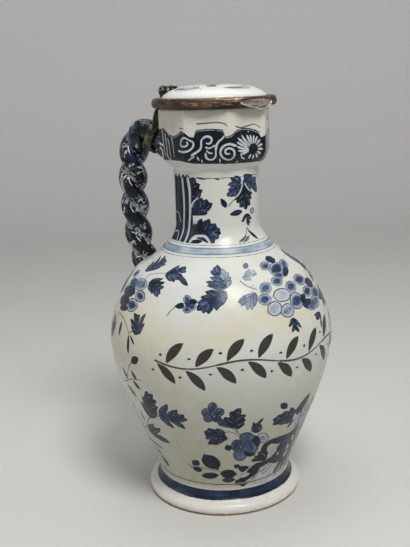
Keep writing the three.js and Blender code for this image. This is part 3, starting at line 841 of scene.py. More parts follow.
knuckle = bar_across(HINGE, KNUCKLE_RADIUS, STRAP_NECK, 32, 7)
strap = melted("hinge_strap_filed", STRAP_VOXEL, [closed_tube(np.array(strap_rings)), saddle, knuckle])
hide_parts("hinge_strap")
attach(strap, "jug")
print("strap:", len(strap.data.polygons), "faces")

# %% [markdown]
# ## The lid
#
# The dome was thrown like the jug and painted before firing. Its flange sits in the rim. A squashed
# sphere would be near it, but its flank is too round. So it is turned from an outline that runs from the
# top over the flange to the underside.

# %% Dome
LID_COLUMNS = 192
DOME_RADIUS = 32.8
DOME_RISE = 7.6
RIM_TOP = 261.1
FLANGE_RADIUS = 35.4
FLANGE_BOTTOM = 256.6
FLANGE_TOP = 259.7
DOME_WALL = 5.0
DOME_ROWS = 60
dome_share = np.sin(np.linspace(0.02, 1, DOME_ROWS) * math.pi / 2)
dome_height = RIM_TOP + DOME_RISE * (1 - dome_share**3) ** 0.65
dome_top = np.stack([DOME_RADIUS * dome_share, dome_height], axis=1)
under_turn = np.linspace(1, 0.04, 24) * math.pi / 2
under_height = FLANGE_BOTTOM + (RIM_TOP + DOME_RISE - DOME_WALL - FLANGE_BOTTOM) * np.cos(under_turn)
dome_under = np.stack([(DOME_RADIUS - DOME_WALL) * np.sin(under_turn), under_height], axis=1)
flange = ring_section(DOME_RADIUS, FLANGE_RADIUS, FLANGE_BOTTOM, FLANGE_TOP, 0.4)
flange = flange[:2 * SECTION_CORNER][::-1]
dome_rows = np.concatenate([dome_top, [(DOME_RADIUS, FLANGE_TOP)], flange, dome_under])
dome_rings = turned_rings(dome_rows[::-1], all_round(LID_COLUMNS))
lid_dome = mesh_object("lid_dome_glazed", *closed_tube(dome_rings))
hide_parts("lid_dome")
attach(lid_dome, "lid")
print("dome:", len(lid_dome.data.polygons), "faces")

# %% [markdown]
# The rim is one strip of copper, folded over the flange and rolled at its edge, with its two ends
# lapped. Hammering left it uneven, and the lap stands a little proud. All the unevenness goes inwards
# from the true form, so the lid keeps its size.

# %% Rim
RIM_BOTTOM = 255.2
RIM_RADIUS = 39.3
RIM_INNER = 30.9
RIM_CHANNEL = 36.7
RIM_SHEET = 1.1
RIM_EDGE_DEPTH = 1.8
RIM_COLUMNS = 360
RIM_STEP = 0.42
BEATEN_FROM = math.radians(-70)
rim_middle = (RIM_BOTTOM + RIM_TOP) / 2
rim_half = (RIM_TOP - RIM_BOTTOM) / 2
rim_turn = np.linspace(-math.pi / 2, math.pi / 2, 26)
rolled_reach = RIM_RADIUS - RIM_EDGE_DEPTH * (1 - np.cos(rim_turn))
rolled = np.stack([rolled_reach, rim_middle + rim_half * np.sin(rim_turn)], axis=1)
rim_outline = [
    (RIM_INNER + 0.3, RIM_BOTTOM), *rolled, (DOME_RADIUS + 0.6, RIM_TOP), (DOME_RADIUS + 0.3, RIM_TOP - 0.3),
    (DOME_RADIUS + 0.3, RIM_TOP - RIM_SHEET), (RIM_CHANNEL, RIM_TOP - RIM_SHEET),
    (RIM_CHANNEL, RIM_BOTTOM + RIM_SHEET), (RIM_INNER, RIM_BOTTOM + RIM_SHEET),
    (RIM_INNER, RIM_BOTTOM + 0.3), (RIM_INNER + 0.3, RIM_BOTTOM),
]
rim_section = evenly(rim_outline, RIM_STEP)[:-1]


def rim_ring(angle):
    """The section at one place, with its hammer marks and grooves."""
    out = np.clip((rim_section[:, 0] - RIM_CHANNEL) / (RIM_RADIUS - RIM_CHANNEL), 0, 1)
    level = (rim_section[:, 1] - RIM_BOTTOM) / (RIM_TOP - RIM_BOTTOM)
    dent = 0.5 + 0.25 * np.sin(17 * angle + 9 * level) + 0.25 * np.sin(29 * angle + 5 * level + 1)
    sway = 0.5 + 0.5 * math.sin(3 * angle + 0.7)
    groove = np.exp(-(((level - 0.3 - 0.06 * sway) / 0.05) ** 2)) + np.exp(-(((level - 0.66) / 0.04) ** 2))
    beaten = 0.22 + 0.3 * np.clip(math.sin(angle - BEATEN_FROM), 0, 1)
    reach = rim_section[:, 0] - out * (beaten * dent + 0.28 * groove)
    return [(r * math.cos(angle), r * math.sin(angle), z) for r, z in zip(reach, rim_section[:, 1])]


rim_rings = np.array([rim_ring(angle) for angle in all_round(RIM_COLUMNS)])
lid_rim = mesh_object("lid_rim_rolled", *hoop(rim_rings))
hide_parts("lid_rim")
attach(lid_rim, "lid")
print("rim:", len(lid_rim.data.polygons), "faces")

# %% [markdown]
# The strip's two ends overlap in a pointed tongue that is soldered down and droops a little below the
# rim. It is thin trim: a bent leaf of sheet with a raised seam of solder along its lower edge.

# %% The rim's lap
LAP_START, LAP_END = math.radians(-36), math.radians(2)
LAP_FULLEST = 0.66
LAP_DROOP = 3.8
LAP_PROUD = 0.34
LAP_SHEET = 0.5
SOLDER_SEAM = 0.5
SEAM_SIDES = 12


def lap_place(angle, level, proud):
    """A place on the rim's face, from its lower edge at 0 to its upper at 1, or hanging where below 0."""
    tilt = math.pi * (np.clip(level, 0, 1) - 0.5)
    reach = RIM_RADIUS - RIM_EDGE_DEPTH * (1 - np.cos(tilt)) + proud - 0.25 * np.clip(-level, 0, 1)
    height = rim_middle + rim_half * np.sin(tilt) + np.minimum(level, 0) * 2 * rim_half
    return np.stack([reach * math.cos(angle), reach * math.sin(angle), height], axis=-1)


def lap_edges(share):
    """How low and how high the tongue reaches at a share of its length."""
    full = np.interp(share, [0, LAP_FULLEST, 0.9, 1], [0.05, 1, 0.62, 0.05])
    low = 0.5 - full * (0.5 + LAP_DROOP / (4 * rim_half))
    return low, 0.52 + 0.14 * math.sin(math.pi * share)


lap_rings, seam_line = [], []
for share in np.linspace(0, 1, 60):
    angle = LAP_START + (LAP_END - LAP_START) * share
    low, high = lap_edges(share)
    level = np.linspace(low, high, 14)
    outer, inner = lap_place(angle, level, LAP_PROUD), lap_place(angle, level[::-1], LAP_PROUD - LAP_SHEET)
    lap_rings.append(np.concatenate([outer, inner]))
    seam_line.append(lap_place(angle, np.array([low]), LAP_PROUD)[0])
seam_line = np.array(seam_line)
seam_way = unit(np.gradient(seam_line, axis=0))
seam_out = unit(np.cross(seam_way, (0, 0, 1)))
seam_radii = np.full(len(seam_line), SOLDER_SEAM)
seam = closed_tube(bar_rings(seam_line, seam_radii, seam_out, np.cross(seam_out, seam_way), SEAM_SIDES))
tongue = closed_tube(np.array(lap_rings))
rim_lap = mesh_object("rim_lap", *joined(tongue, seam))
lap_metals = np.arange(len(rim_lap.data.polygons)) >= len(tongue[1])
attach(rim_lap, "lid")
print("lap:", len(rim_lap.data.polygons), "faces")

# %% [markdown]
# The thumbpiece lifts the lid. Two round lobes sit on a short bar above a stem and a foot that is
# riveted to the rim. Cast bronze has soft corners, so it is melted together as the strap was.

# %% Thumbpiece
THUMB_REACH = 34.0
THUMB_HEIGHT = 265.1
THUMB_SPREAD = 4.9
LOBE_REACH = 3.15
LOBE_THICKNESS = 1.2
THUMB_BAR = 1.5
THUMB_FOOT_TOP = 262.5
THUMB_VOXEL = 0.16


def egg(middle, radii):
    """A closed egg shape with its own radius along each axis."""
    angle, rise = np.meshgrid(all_round(28), np.linspace(-0.47, 0.47, 16) * math.pi)
    out = np.cos(rise)
    rings = np.stack([out * np.cos(angle), out * np.sin(angle), np.sin(rise)], axis=-1)
    return closed_tube(middle + rings * radii)


def flat_bar(start, end, width, thickness):
    """A flat bar with rounded edges, from one place to another in the handle's plane."""
    start, way = np.array(start, float), np.subtract(end, start)
    ring = oblong(width / 2, thickness / 2, SIDEWAYS, np.cross(SIDEWAYS, unit(way)))
    return closed_tube(start + way * np.linspace(0, 1, 8)[:, None, None] + ring)


def wheel(middle, reach, thick):
    """A round bar bent to a ring about a line across the handle's plane."""
    around, angle = np.meshgrid(all_round(14), np.linspace(0, 2 * math.pi, 41))
    out = reach + thick * np.cos(around)
    rings = np.stack([out * np.cos(angle), thick * np.sin(around), out * np.sin(angle)], axis=-1)
    return closed_tube((middle + rings)[::-1])


def scroll_lobe(side):
    """One lobe: a rolled ring with a sunk face and a small boss, on a leaf that stands on the rim."""
    middle = np.array([-THUMB_REACH, side * THUMB_SPREAD, THUMB_HEIGHT])
    leaf_on_rim = egg(middle + (-1.2, -0.5 * side, -2.6), (1.9, 1.7, 2.8))
    face = egg(middle, (LOBE_REACH, 0.9, LOBE_REACH))
    boss = egg(middle, (1.1, 1.9, 1.1))
    return [wheel(middle, LOBE_REACH, LOBE_THICKNESS), face, boss, leaf_on_rim]


thumb_bar = bar_across(np.array([-THUMB_REACH, 0, THUMB_HEIGHT - 0.6]), THUMB_BAR, THUMB_SPREAD, 24, 9)
thumb_stem = flat_bar((-36.4, 0, THUMB_FOOT_TOP - 0.6), (-THUMB_REACH, 0, THUMB_HEIGHT), 8.6, 2.2)
thumb_foot = flat_bar((-33.5, 0, THUMB_FOOT_TOP - 0.55), (-37.4, 0, THUMB_FOOT_TOP - 0.55), 11.0, 1.1)
thumb_parts = [*scroll_lobe(-1), *scroll_lobe(1), thumb_bar, thumb_stem, thumb_foot]
thumb = melted("thumbpiece_cast", THUMB_VOXEL, thumb_parts)
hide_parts("thumbpiece")
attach(thumb, "lid")
print("thumbpiece:", len(thumb.data.polygons), "faces")

# %% [markdown]
# ## Brushwork that stays sharp
#
# The painter works with a loaded brush: one stroke for each finger of a leaf, one for each petal, then
# thin lines on top. A picture could be wrapped round the jug, but then it is only as sharp as its
# dots. Here each stroke is stored in the mesh as two numbers at each corner of each face: how far the
# middle of the stroke is, and how wide the brush was there. The material paints where the second is
# more than the first, so the edge is sharp at any distance. A third number is the tone of the blue.

# %% Nearest place on a stroke
SAME_STRETCH = 3.0


def nearest(spots, line, width):
    """For the corners of faces, four by four: their signed distance from a brush line, and its half width.

    The corners of one face look at one stretch of the line, so a curl stays apart from its next turn.
    """
    start, step = line[:-1], np.diff(line, axis=0)
    size = (step**2).sum(axis=1)
    from_start = spots[:, None] - start
    share = (from_start * step).sum(axis=2) / size
    gap = from_start - np.clip(share, 0, 1)[..., None] * step
    far = (gap**2).sum(axis=2).reshape(-1, 4, len(step))
    run = np.cumsum(np.sqrt(size))
    closest = far.min(axis=1).argmin(axis=1)
    elsewhere = abs(run - run[closest][:, None]) > SAME_STRETCH
    best = np.where(elsewhere[:, None], np.inf, far).reshape(-1, len(step)).argmin(axis=1)
    each = np.arange(len(spots))
    share, gap, from_start = share[each, best], gap[each, best], from_start[each, best]
    length = np.sqrt(size[best])
    side = (step[best, 0] * from_start[:, 1] - step[best, 1] * from_start[:, 0]) / length
    past_end = np.where(best == len(step) - 1, share - 1, 0)
    past_end = np.maximum(np.maximum(past_end, np.where(best == 0, -share, 0)), 0) * length
    away = np.where(past_end > 0, side, np.sign(side) * np.linalg.norm(gap, axis=1))
    wide = width[best] + (width[best + 1] - width[best]) * np.clip(share, 0, 1) - past_end
    return away, wide


square = np.array([[5.0, 1.0], [6.0, 1.0], [6.0, 2.0], [5.0, 2.0]])
print("corners beside a stroke:", nearest(square, np.array([[0.0, 0], [9, 0]]), np.array([2.0, 2.0])))

# %% A canvas on the jug
DAB_LAYERS = ("dab_a", "dab_b", "dab_c")
WASH, *TOP_DABS = DAB_LAYERS
HEART = "heart"
WHITE_LAYERS = ("white_a", "white_b")
LINE_LAYERS = ("line_a", "line_b")
UMBER = "umber"
LAYERS = (*DAB_LAYERS, HEART, *WHITE_LAYERS, *LINE_LAYERS, UMBER)
UNPAINTED = np.float32([9, -9, 0])
NO_STROKE = -99.0
BRUSH_MARGIN = 2.0


class Canvas:
    """The faces of a turned form, and the strokes laid on them, layer by layer."""

    def __init__(self, rows, column_count):
        self.rows = np.asarray(rows, float)
        self.run = lengths(self.rows)
        self.columns = column_count
        self.step = 2 * math.pi / column_count
        shape = (len(rows) - 1, column_count)
        self.corners = {name: np.tile(UNPAINTED, (*shape, 4, 1)) for name in LAYERS}
        self.closeness = {name: np.full(shape, NO_STROKE) for name in LAYERS}
        self.turns = dict.fromkeys(LAYERS, 0)

    def spot(self, angle, height):
        """A place, from an angle in degrees and a height, as radians and a run along the outline."""
        return math.radians(angle), float(np.interp(height, self.rows[:, 1], self.run))

    def between(self, start, end):
        """How far right and up, in millimetres, end lies from start."""
        radius = np.interp(end[1], self.run, self.rows[:, 0])
        return np.array([radius * (end[0] - start[0]), end[1] - start[1]])

    def from_first(self, places):
        """The first of some places, and how far right and up of it each of them lies."""
        spots = [self.spot(*place) for place in places]
        return spots[0], [self.between(spots[0], spot) for spot in spots]

    def near(self, place, low, high):
        """The faces round a place, and how far right and up of it each of their corners lies."""
        first = max(np.searchsorted(self.run, place[1] + low[1]) - 1, 0)
        last = min(np.searchsorted(self.run, place[1] + high[1]), len(self.run) - 1)
        if last <= first:
            return None
        least = max(self.rows[first:last + 1, 0].min(), 1)
        left = math.floor((place[0] + low[0] / least) / self.step)
        right = math.ceil((place[0] + high[0] / least) / self.step)
        row, column = np.meshgrid(np.arange(first, last), np.arange(left, right), indexing="ij")
        row, column = row.ravel(), column.ravel()
        corner_row = row[:, None] + [0, 0, 1, 1]
        corner_column = column[:, None] + [0, 1, 1, 0]
        x = self.rows[corner_row, 0] * (corner_column * self.step - place[0])
        y = self.run[corner_row] - place[1]
        return row, column % self.columns, np.stack([x, y], axis=-1)

    def stroke(self, layers, place, line, width, tone):
        """Lays one brush stroke. Line is in millimetres from the place, width is half the brush's.

        Several layers are taken in turn, so that strokes side by side don't share one.
        """
        layer = layers
        if not isinstance(layers, str):
            layer = min(layers, key=lambda name: self.turns[name])
            self.turns[layer] += 1
        line = np.asarray(line, float)
        width = np.broadcast_to(np.asarray(width, float), len(line))
        margin = width.max() + BRUSH_MARGIN
        found = self.near(place, line.min(axis=0) - margin, line.max(axis=0) + margin)
        if found is None:
            return
        row, column, at = found
        away, wide = [part.reshape(-1, 4) for part in nearest(at.reshape(-1, 2), line, width)]
        closeness = (wide - np.abs(away)).mean(axis=1)
        better = closeness > self.closeness[layer][row, column]
        row, column = row[better], column[better]
        self.closeness[layer][row, column] = closeness[better]
        laid = np.stack([away, wide, np.full_like(away, tone)], axis=-1)
        self.corners[layer][row, column] = laid[better]

    def store(self, piece, first_row):
        """Writes the layers into the mesh, whose painted faces begin at a row."""
        for name, corners in self.corners.items():
            values = np.tile(UNPAINTED, (len(piece.data.loops), 1))
            start = first_row * self.columns * 4
            flat = corners.reshape(-1, 3)
            values[start:start + len(flat)] = flat
            layer = piece.data.attributes.new(name, "FLOAT_VECTOR", "CORNER")
            layer.data.foreach_set("vector", values.ravel())


BARE_ROWS = 6
jug_canvas = Canvas(outside_rows[BARE_ROWS:], COLUMNS)
print("jug canvas:", len(jug_canvas.rows) - 1, "rows of", jug_canvas.columns, "faces")

# %% [markdown]
# ## The painter's strokes
#
# A dab is pressed down and lifted off, so it is narrow at its start, wide in the middle and pointed at
# its end. From dabs come fingers, petals, leaves and flowers. Each is drawn about its own base and
# turned towards its tip.

# %% Dabs, rings and petals
DAB_POINTS = 9
HEART_STRENGTH = 0.84
DAB_PETAL, WASHED_PETAL, OUTLINED_PETAL, VEINED_PETAL = range(4)

chance = np.random.default_rng(11)


def pressed(count, wide, start=0.15, fullest=0.55):
    """Half widths along a dab: from a narrow start to its fullest place, then to a point."""
    t = np.linspace(0, 1, count)
    rising = start + (1 - start) * np.sin(np.clip(t / fullest, 0, 1) * math.pi / 2)
    falling = np.cos(np.clip((t - fullest) / (1 - fullest), 0, 1) * math.pi / 2) ** 0.7
    return wide * np.where(t < fullest, rising, falling)


def turned(points, heading):
    """Flat points turned to a heading in radians."""
    c, s = math.cos(heading), math.sin(heading)
    return np.asarray(points, float) @ np.array([[c, s], [-s, c]])


def dab(canvas, place, start, end, wide, tone, bend=0.0, layers=TOP_DABS, fullest=0.55, blunt=0.15):
    start, end = np.asarray(start, float), np.asarray(end, float)
    way = end - start
    line = bezier(start, start + way / 2 + np.array([-way[1], way[0]]) * bend, end, count=DAB_POINTS)
    canvas.stroke(layers, place, line, pressed(DAB_POINTS, wide, blunt, fullest), tone)


def ring(middle, wide, high, heading):
    """A line round an oval, whose end runs over its start."""
    angle = np.linspace(0, 2 * math.pi, 20) + 0.3
    angle = np.append(angle, angle[1] + 2 * math.pi)
    return middle + turned(np.stack([wide * np.cos(angle), high * np.sin(angle)], axis=1), heading)


def oval(canvas, layers, place, middle, reach, high, tone):
    """A filled oval. Reach is half its length as a direction, high is half its width."""
    share = np.linspace(-0.96, 0.96, 11)
    canvas.stroke(layers, place, middle + share[:, None] * reach, high * np.sqrt(1 - share**2), tone)


def petal(canvas, place, middle, wide, high, tone, heading=0.0, kind=WASHED_PETAL):
    """An oval petal: a dark dab, a dab with veins, or a heart in a pale wash, outlined or not."""
    middle = np.asarray(middle, float)
    if wide < high:
        wide, high, heading = high, wide, heading + math.pi / 2
    reach, aside = turned([(wide, 0), (0, high)], heading)
    if kind == WASHED_PETAL:
        canvas.stroke(LINE_LAYERS, place, ring(middle, wide * 1.06, high * 1.08, heading), 0.3, 0.55)
    if kind == VEINED_PETAL:
        canvas.stroke(LINE_LAYERS, place, ring(middle, wide * 1.06, high * 1.08, heading), 0.42, 0.95)
    if kind in (DAB_PETAL, VEINED_PETAL):
        oval(canvas, TOP_DABS, place, middle, reach, high, tone)
    else:
        inner = 0.86 if kind == WASHED_PETAL else 0.76
        oval(canvas, WASH, place, middle, reach * 1.08, high * 1.1, 0.06 + 0.2 * tone)
        oval(canvas, HEART, place, middle, reach * inner, high * inner, tone * HEART_STRENGTH)
    if kind == OUTLINED_PETAL:
        canvas.stroke(LINE_LAYERS, place, ring(middle, wide * 1.02, high * 1.04, heading), 0.34, 0.95)
    if kind == VEINED_PETAL:
        for lean in (-0.5, -0.1, 0.35):
            tip = middle + reach * (0.75 - abs(lean)) + aside * lean
            canvas.stroke(LINE_LAYERS, place, [tip, middle - reach * 0.65 + aside * lean * 0.5], 0.24, 0.7)
        gleam = [middle + reach * 0.1 + aside * 0.62, middle + reach * 0.7 + aside * 0.3]
        canvas.stroke(WHITE_LAYERS, place, gleam, 0.34, 0.3)


def dot(canvas, place, middle, wide, layers):
    middle = np.asarray(middle, float)
    canvas.stroke(layers, place, [middle, middle + (0.05, 0)], wide, 1.0)


print("a dab's half widths:", pressed(5, 2.0).round(2))

# %% [markdown]
# A leaf is a quick thing: a wash, then one finger of dark blue for each tip, each leaving the midrib at
# about half a right angle. The tips are listed, the first one ends the midrib. Fingers differ a little in
# width and tone. A fine white line follows each of them, and a dark one the midrib.

# %% Leaves


def half_finger(length):
    """The widest half width of a finger, for a leaf of some length."""
    return 0.085 * length + 0.25


def leaf(canvas, places, tone, wide=1.0):
    """A fingered leaf, from the place of its base and the places of its tips."""
    place, (_, *ends) = canvas.from_first(places)
    length = max(float(np.hypot(*end)) for end in ends)
    along = ends[0] / np.hypot(*ends[0])
    across = np.array([-along[1], along[0]])
    for i, end in enumerate(ends):
        out, aside = end @ along, end @ across
        root = along * np.clip(out - 1.05 * abs(aside), 0.02 * length, 0.6 * length)
        way = end - root
        reach = float(np.hypot(*way))
        canvas.stroke(WASH, place, [along * 0.02 * length, root + way * 0.2, root + way * 0.66],
                      np.array([0.06, 0.14, 0.1]) * length * wide, tone - 0.12)
        bend = -0.1 * np.sign(aside) * chance.uniform(0.3, 1.2)
        finger = min(half_finger(length), 0.3 * reach + 0.3) * wide * chance.uniform(0.85, 1.1)
        dab(canvas, place, root, end, finger, tone + chance.uniform(-0.16, 0.1), bend, TOP_DABS, 0.62, 0.5)
        hint = np.array([-way[1], way[0]]) / reach * finger * (0.55 if i % 2 else -0.55)
        gleam = [root + way * 0.3 + hint, root + way * 0.78 + hint * 0.4]
        canvas.stroke(WHITE_LAYERS, place, gleam, [0.16, 0.04], 0.42)
    midrib = [along * length * share for share in (-0.02, 0.4, 0.78)]
    canvas.stroke(LINE_LAYERS, place, midrib, [0.34, 0.24, 0.06], 0.8)


print("finger of a leaf 10 mm long:", round(2 * half_finger(10), 2), "mm wide")

# %% [markdown]
# ## The garden on the jug
#
# Leaves, petals, dabs and stems are placed by angle and height. The pouring side is at angle 0 and the
# handle at 180. What stands on one side of the jug is painted again on the other, turned over, as a
# painter would who balances both sides. Only the middle, round the pouring side, is painted once. The
# flowers are listed petal by petal, because no two of them are alike.
#
# Most places in these tables, and in those of the rock, neck and collar, were read as points of a
# picture. They were turned into angles and heights outside this script, rounded to a tenth, and stand
# here as they were printed. A better script would hold the points that were read and work out the
# places itself.

# %% Leaves by place
MIRRORED_BEYOND = -34
# base and tips, tone, fullness
LEAVES = [
    ([(-121.6, 155.6), (-113.2, 163.5), (-125.8, 163.9), (-118.7, 164.8), (-109.8, 162.2), (-108.5, 160.7),
     (-111.3, 158.8), (-129.4, 160.4), (-128.9, 158.1)], 0.78, 1),
    ([(-100.5, 157.2), (-85.5, 160.4), (-93.7, 161.8), (-87.1, 161.4), (-84.4, 158.5), (-84.7, 156.2),
     (-86.4, 154.9), (-88.8, 153.8), (-92.2, 153.9)], 0.86, 1),
    ([(-109, 151.8), (-95.9, 147), (-98.8, 154.9), (-96, 153.2), (-95, 150.9), (-97.3, 144.9),
     (-102.2, 146), (-105.3, 147.1)], 0.9, 1),
    ([(-104.5, 122.7), (-108.5, 133.8), (-111.3, 133.8), (-105.9, 134), (-101.6, 135.6), (-100.7, 130.2),
     (-113, 129.8), (-110.9, 126.2)], 0.92, 1),
    ([(-54.7, 152), (-62.9, 161.5), (-60, 162.6), (-65.8, 159.4), (-65.6, 156.7), (-68.1, 154.8),
     (-66.9, 152.8), (-61.9, 152.3)], 0.66, 1),
    ([(-54.7, 151.8), (-56.1, 160.7), (-51.8, 158.8), (-50.7, 156.9), (-50.9, 155.2), (-58.7, 157.7)],
     0.34, 1),
    ([(-55.2, 149.7), (-68.9, 142.4), (-67.8, 150.1), (-69.9, 147.3), (-71.5, 144.3), (-71.3, 140.1),
     (-67.9, 138.7), (-65.3, 138.3), (-61.1, 140.1), (-58.4, 142.4)], 0.78, 1),
    ([(-38, 147.7), (-49.1, 143.8), (-46.1, 146.7), (-47.3, 141.9), (-44.6, 139.3), (-42.3, 139.2),
     (-40.3, 140.9)], 0.5, 1.15),
    ([(-42.2, 156.2), (-31.2, 157.1), (-31.6, 159), (-34.6, 159.7), (-37.8, 154.3), (-41.3, 154.2)],
     0.22, 1.2),
    ([(-19, 131.1), (-19.3, 125.9), (-15, 124.5), (-17.2, 122.5), (-22.2, 123.5), (-23.5, 126.9)],
     0.86, 1.2),
    ([(-106.2, 65.9), (-100.4, 87.1), (-106.1, 81.6), (-109.2, 76.8), (-96.8, 85.8), (-95.4, 81.4),
     (-95.5, 77), (-97.3, 72.4)], 0.9, 1),
    ([(-96.2, 70.4), (-78.4, 71.2), (-88.6, 81.2), (-83.5, 78.2), (-79.9, 74.7), (-80.8, 63.5), (-88.6, 62),
     (-91.9, 65.5)], 0.84, 1),
    ([(-115.4, 52.5), (-96, 49.3), (-105.2, 61.2), (-99.9, 59.6), (-103.8, 48.3), (-109, 49.3)], 0.94, 1),
    ([(-53.2, 66.2), (-52.2, 79.8), (-55.5, 78), (-49.9, 80.3), (-46.8, 75.2), (-46.8, 71.8), (-46.9, 68.2),
     (-58.8, 74.3)], 0.95, 1.35),
    ([(-53.2, 66.2), (-62.1, 70.9), (-61.3, 73.6), (-58.6, 69)], 0.8, 1.5),
    ([(-58.6, 59.9), (-69.7, 62.9), (-67.2, 65.6), (-63.1, 65.8), (-69.7, 57.4), (-68.9, 52.9),
     (-65.3, 52.4), (-60.8, 55)], 0.9, 1.9),
    ([(-14.9, 64.3), (-30.4, 67.7), (-19, 73), (-23.8, 71.6), (-27.5, 69.6), (-29.6, 63.5), (-24.8, 61.8),
     (-19.3, 61)], 0.95, 1.5),
    ([(-8.6, 65.1), (-3, 77.2), (-3.4, 73.6), (-5.5, 69.4), (-14.6, 69.4)], 0.95, 1.2),
    ([(-26.5, 36.9), (-39.8, 37.8), (-37.6, 41), (-35.8, 43.9), (-32.4, 44), (-33.6, 35.2)], 0.95, 1.3),
    ([(-46.2, 28.8), (-47.1, 33.5), (-51.8, 35), (-49.3, 33.7), (-44.4, 33), (-40.9, 32.2)], 0.97, 1.2),
    ([(4.5, 128.1), (0.8, 125), (-2.5, 128.5), (-2, 126.2), (4.1, 124.1)], 0.9, 1.2),
    ([(-140, 140), (-150, 154), (-153, 147), (-143, 152), (-154, 142), (-141, 147)], 0.9, 1.1),
    ([(-143, 70), (-152, 87), (-157, 78), (-145, 84), (-158, 71), (-143, 77)], 0.9, 1.1),
    ([(-131, 114), (-133, 128), (-138, 122), (-128, 124), (-137, 116)], 0.9, 1.1),
    ([(21, 64), (34, 75), (25, 77), (31, 79), (36, 70), (34, 64), (28, 61)], 0.92, 1.1),
    ([(20, 152), (31, 160), (24, 163), (29, 164), (34, 156), (33, 151)], 0.88, 1.1),
    ([(24, 140), (16, 128), (12, 134), (22, 127), (27, 130)], 0.9, 1.2),
    ([(-166, 104), (-160, 120), (-168, 118), (-156, 114), (-170, 111)], 0.9, 1.1),
]


def placed(places, side=1, turn_by=0):
    """Places turned over to the jug's other side where side is -1, and then turned round it."""
    return [(side * angle + turn_by, height) for angle, height in places]


def sides_of(angle):
    return (1, -1) if angle < MIRRORED_BEYOND else (1,)


for places, tone, wide in LEAVES:
    for side in sides_of(places[0][0]):
        leaf(jug_canvas, placed(places, side), tone, wide)
print("leaves:", len(LEAVES))

# %% Petals by place
# angle, height, half length and half width in millimetres, heading in degrees, tone, kind of petal
PETALS = [
    (-117.4, 149.1, 7.5, 3.8, 0, 0.62, 1), (-111.5, 143.4, 5.2, 3.3, -13, 0.95, 2),
    (-115.9, 137.4, 6.3, 4, 0, 0.92, 2), (-126.3, 148.2, 6.3, 3.4, -4, 0.7, 0),
    (-126.6, 143.1, 9.2, 4.1, 6, 0.93, 0), (-127.4, 137.6, 8.2, 4.1, 5, 0.9, 0),
    (-124, 133.8, 6.4, 2.2, 9, 0.95, 0), (-77.6, 145.7, 2.6, 2.2, -61, 0.86, 1),
    (-74.2, 144.6, 2.4, 2, -12, 0.93, 0), (-74.3, 142, 2.5, 2.2, 25, 0.9, 1),
    (-76.7, 140.5, 2.6, 2.1, -3, 0.9, 1), (-76.5, 143.2, 2.4, 2.1, -28, 0.7, 0),
    (-9.3, 161.8, 3.9, 3.1, -9, 0.88, 0), (-19.8, 159.5, 4.2, 3, 26, 0.68, 1),
    (-11.9, 157.2, 7.4, 4.1, 22, 0.92, 1), (1, 158.1, 4.7, 2.9, 25, 0.82, 1),
    (-6.2, 155.3, 6.5, 2.1, 33, 0.95, 0), (-15.9, 154.6, 3.7, 2.9, -4, 0.84, 1),
    (-20.3, 152, 4.2, 3, 10, 0.78, 1), (-11.6, 147.4, 4.7, 3.3, 9, 0.72, 1),
    (0.4, 149.1, 5.9, 3.6, -4, 0.88, 1), (9.8, 145.1, 5.5, 3.6, -10, 0.92, 0),
    (-30.4, 149.7, 4, 3.3, 32, 0.6, 1), (-33.4, 143.9, 4, 3.2, 6, 0.74, 1),
    (-28.9, 138.3, 4.9, 4.1, 18, 0.3, 2), (-21.1, 135.9, 5.1, 3.9, 11, 0.44, 2),
    (-12.5, 139.6, 5.8, 4.7, 21, 0.8, 2), (-21.1, 144.5, 6.4, 4, 0, 0.16, 2),
    (1.1, 142, 5.3, 3.1, 9, 0.92, 1), (10.9, 138.8, 6.9, 3.9, 0, 0.75, 1),
    (-6.2, 139.4, 3.6, 2.6, 29, 0.95, 0), (-3.7, 135.8, 5.9, 3.1, -1, 0.88, 0),
    (4.2, 134.8, 7.4, 3.6, 2, 0.62, 1), (-1.9, 133.4, 5.3, 2, -14, 0.7, 1),
    (-105.8, 106.3, 4.2, 2.6, 31, 0.94, 0), (-64.2, 81.6, 3.5, 2.4, 82, 0.7, 3),
    (-67.7, 77.6, 3.2, 2.4, 77, 0.62, 3), (-61.1, 78.1, 2.9, 2.8, 38, 0.68, 3),
    (-66.8, 73.6, 3, 2.6, 66, 0.58, 3), (-62.6, 73.8, 3, 2.6, 77, 0.68, 3),
    (-64.6, 77.2, 2.5, 2.1, 73, 0.62, 0), (-45.1, 56.6, 5.1, 3.9, -50, 0.6, 3),
    (-34.4, 54.6, 4.9, 3.1, -52, 0.42, 2), (-38.7, 52.7, 5.6, 2.9, -73, 0.94, 0),
    (-50.5, 51.2, 5.1, 3.6, -76, 0.68, 3), (-48.6, 43.6, 5.3, 3.6, -74, 0.5, 3),
    (-42.1, 48.6, 6.4, 4.5, -61, 0.6, 3), (-42.5, 43.9, 4.7, 2.9, -28, 0.94, 0),
    (-56.4, 50.1, 2.6, 2.3, -71, 0.93, 0), (-39.8, 63.6, 3.9, 3, -66, 0.84, 3),
    (-79.7, 36.2, 3, 2.7, 47, 0.94, 0), (-79.5, 30.8, 3, 2.4, -3, 0.95, 0),
    (-68.3, 38.2, 7, 5.6, -60, 0.97, 0), (-70.4, 26.4, 5.4, 2.9, 10, 0.95, 0),
    (-56.2, 28.1, 4.8, 4, -9, 0.97, 0), (-56.1, 23, 4, 2.3, 1, 0.8, 0), (-24.6, 76, 3.7, 2.3, -38, 0.95, 0),
    (-64.8, 59.8, 4.9, 3.9, -15, 0.9, 0), (-36.8, 161.1, 2.4, 1.7, 56, 0.5, 0),
    (-133, 152.6, 3.4, 2.9, 20, 0.9, 1), (23.4, 146.6, 5.4, 3.4, 25, 0.84, 1),
    (-160, 96, 3.6, 3.2, 0, 0.85, 1), (-150, 104, 3, 2.6, 30, 0.92, 0), (10.6, 66.6, 3.2, 2.7, 10, 0.9, 1),
    (16.8, 57, 4.4, 3.6, 40, 0.7, 1),
]

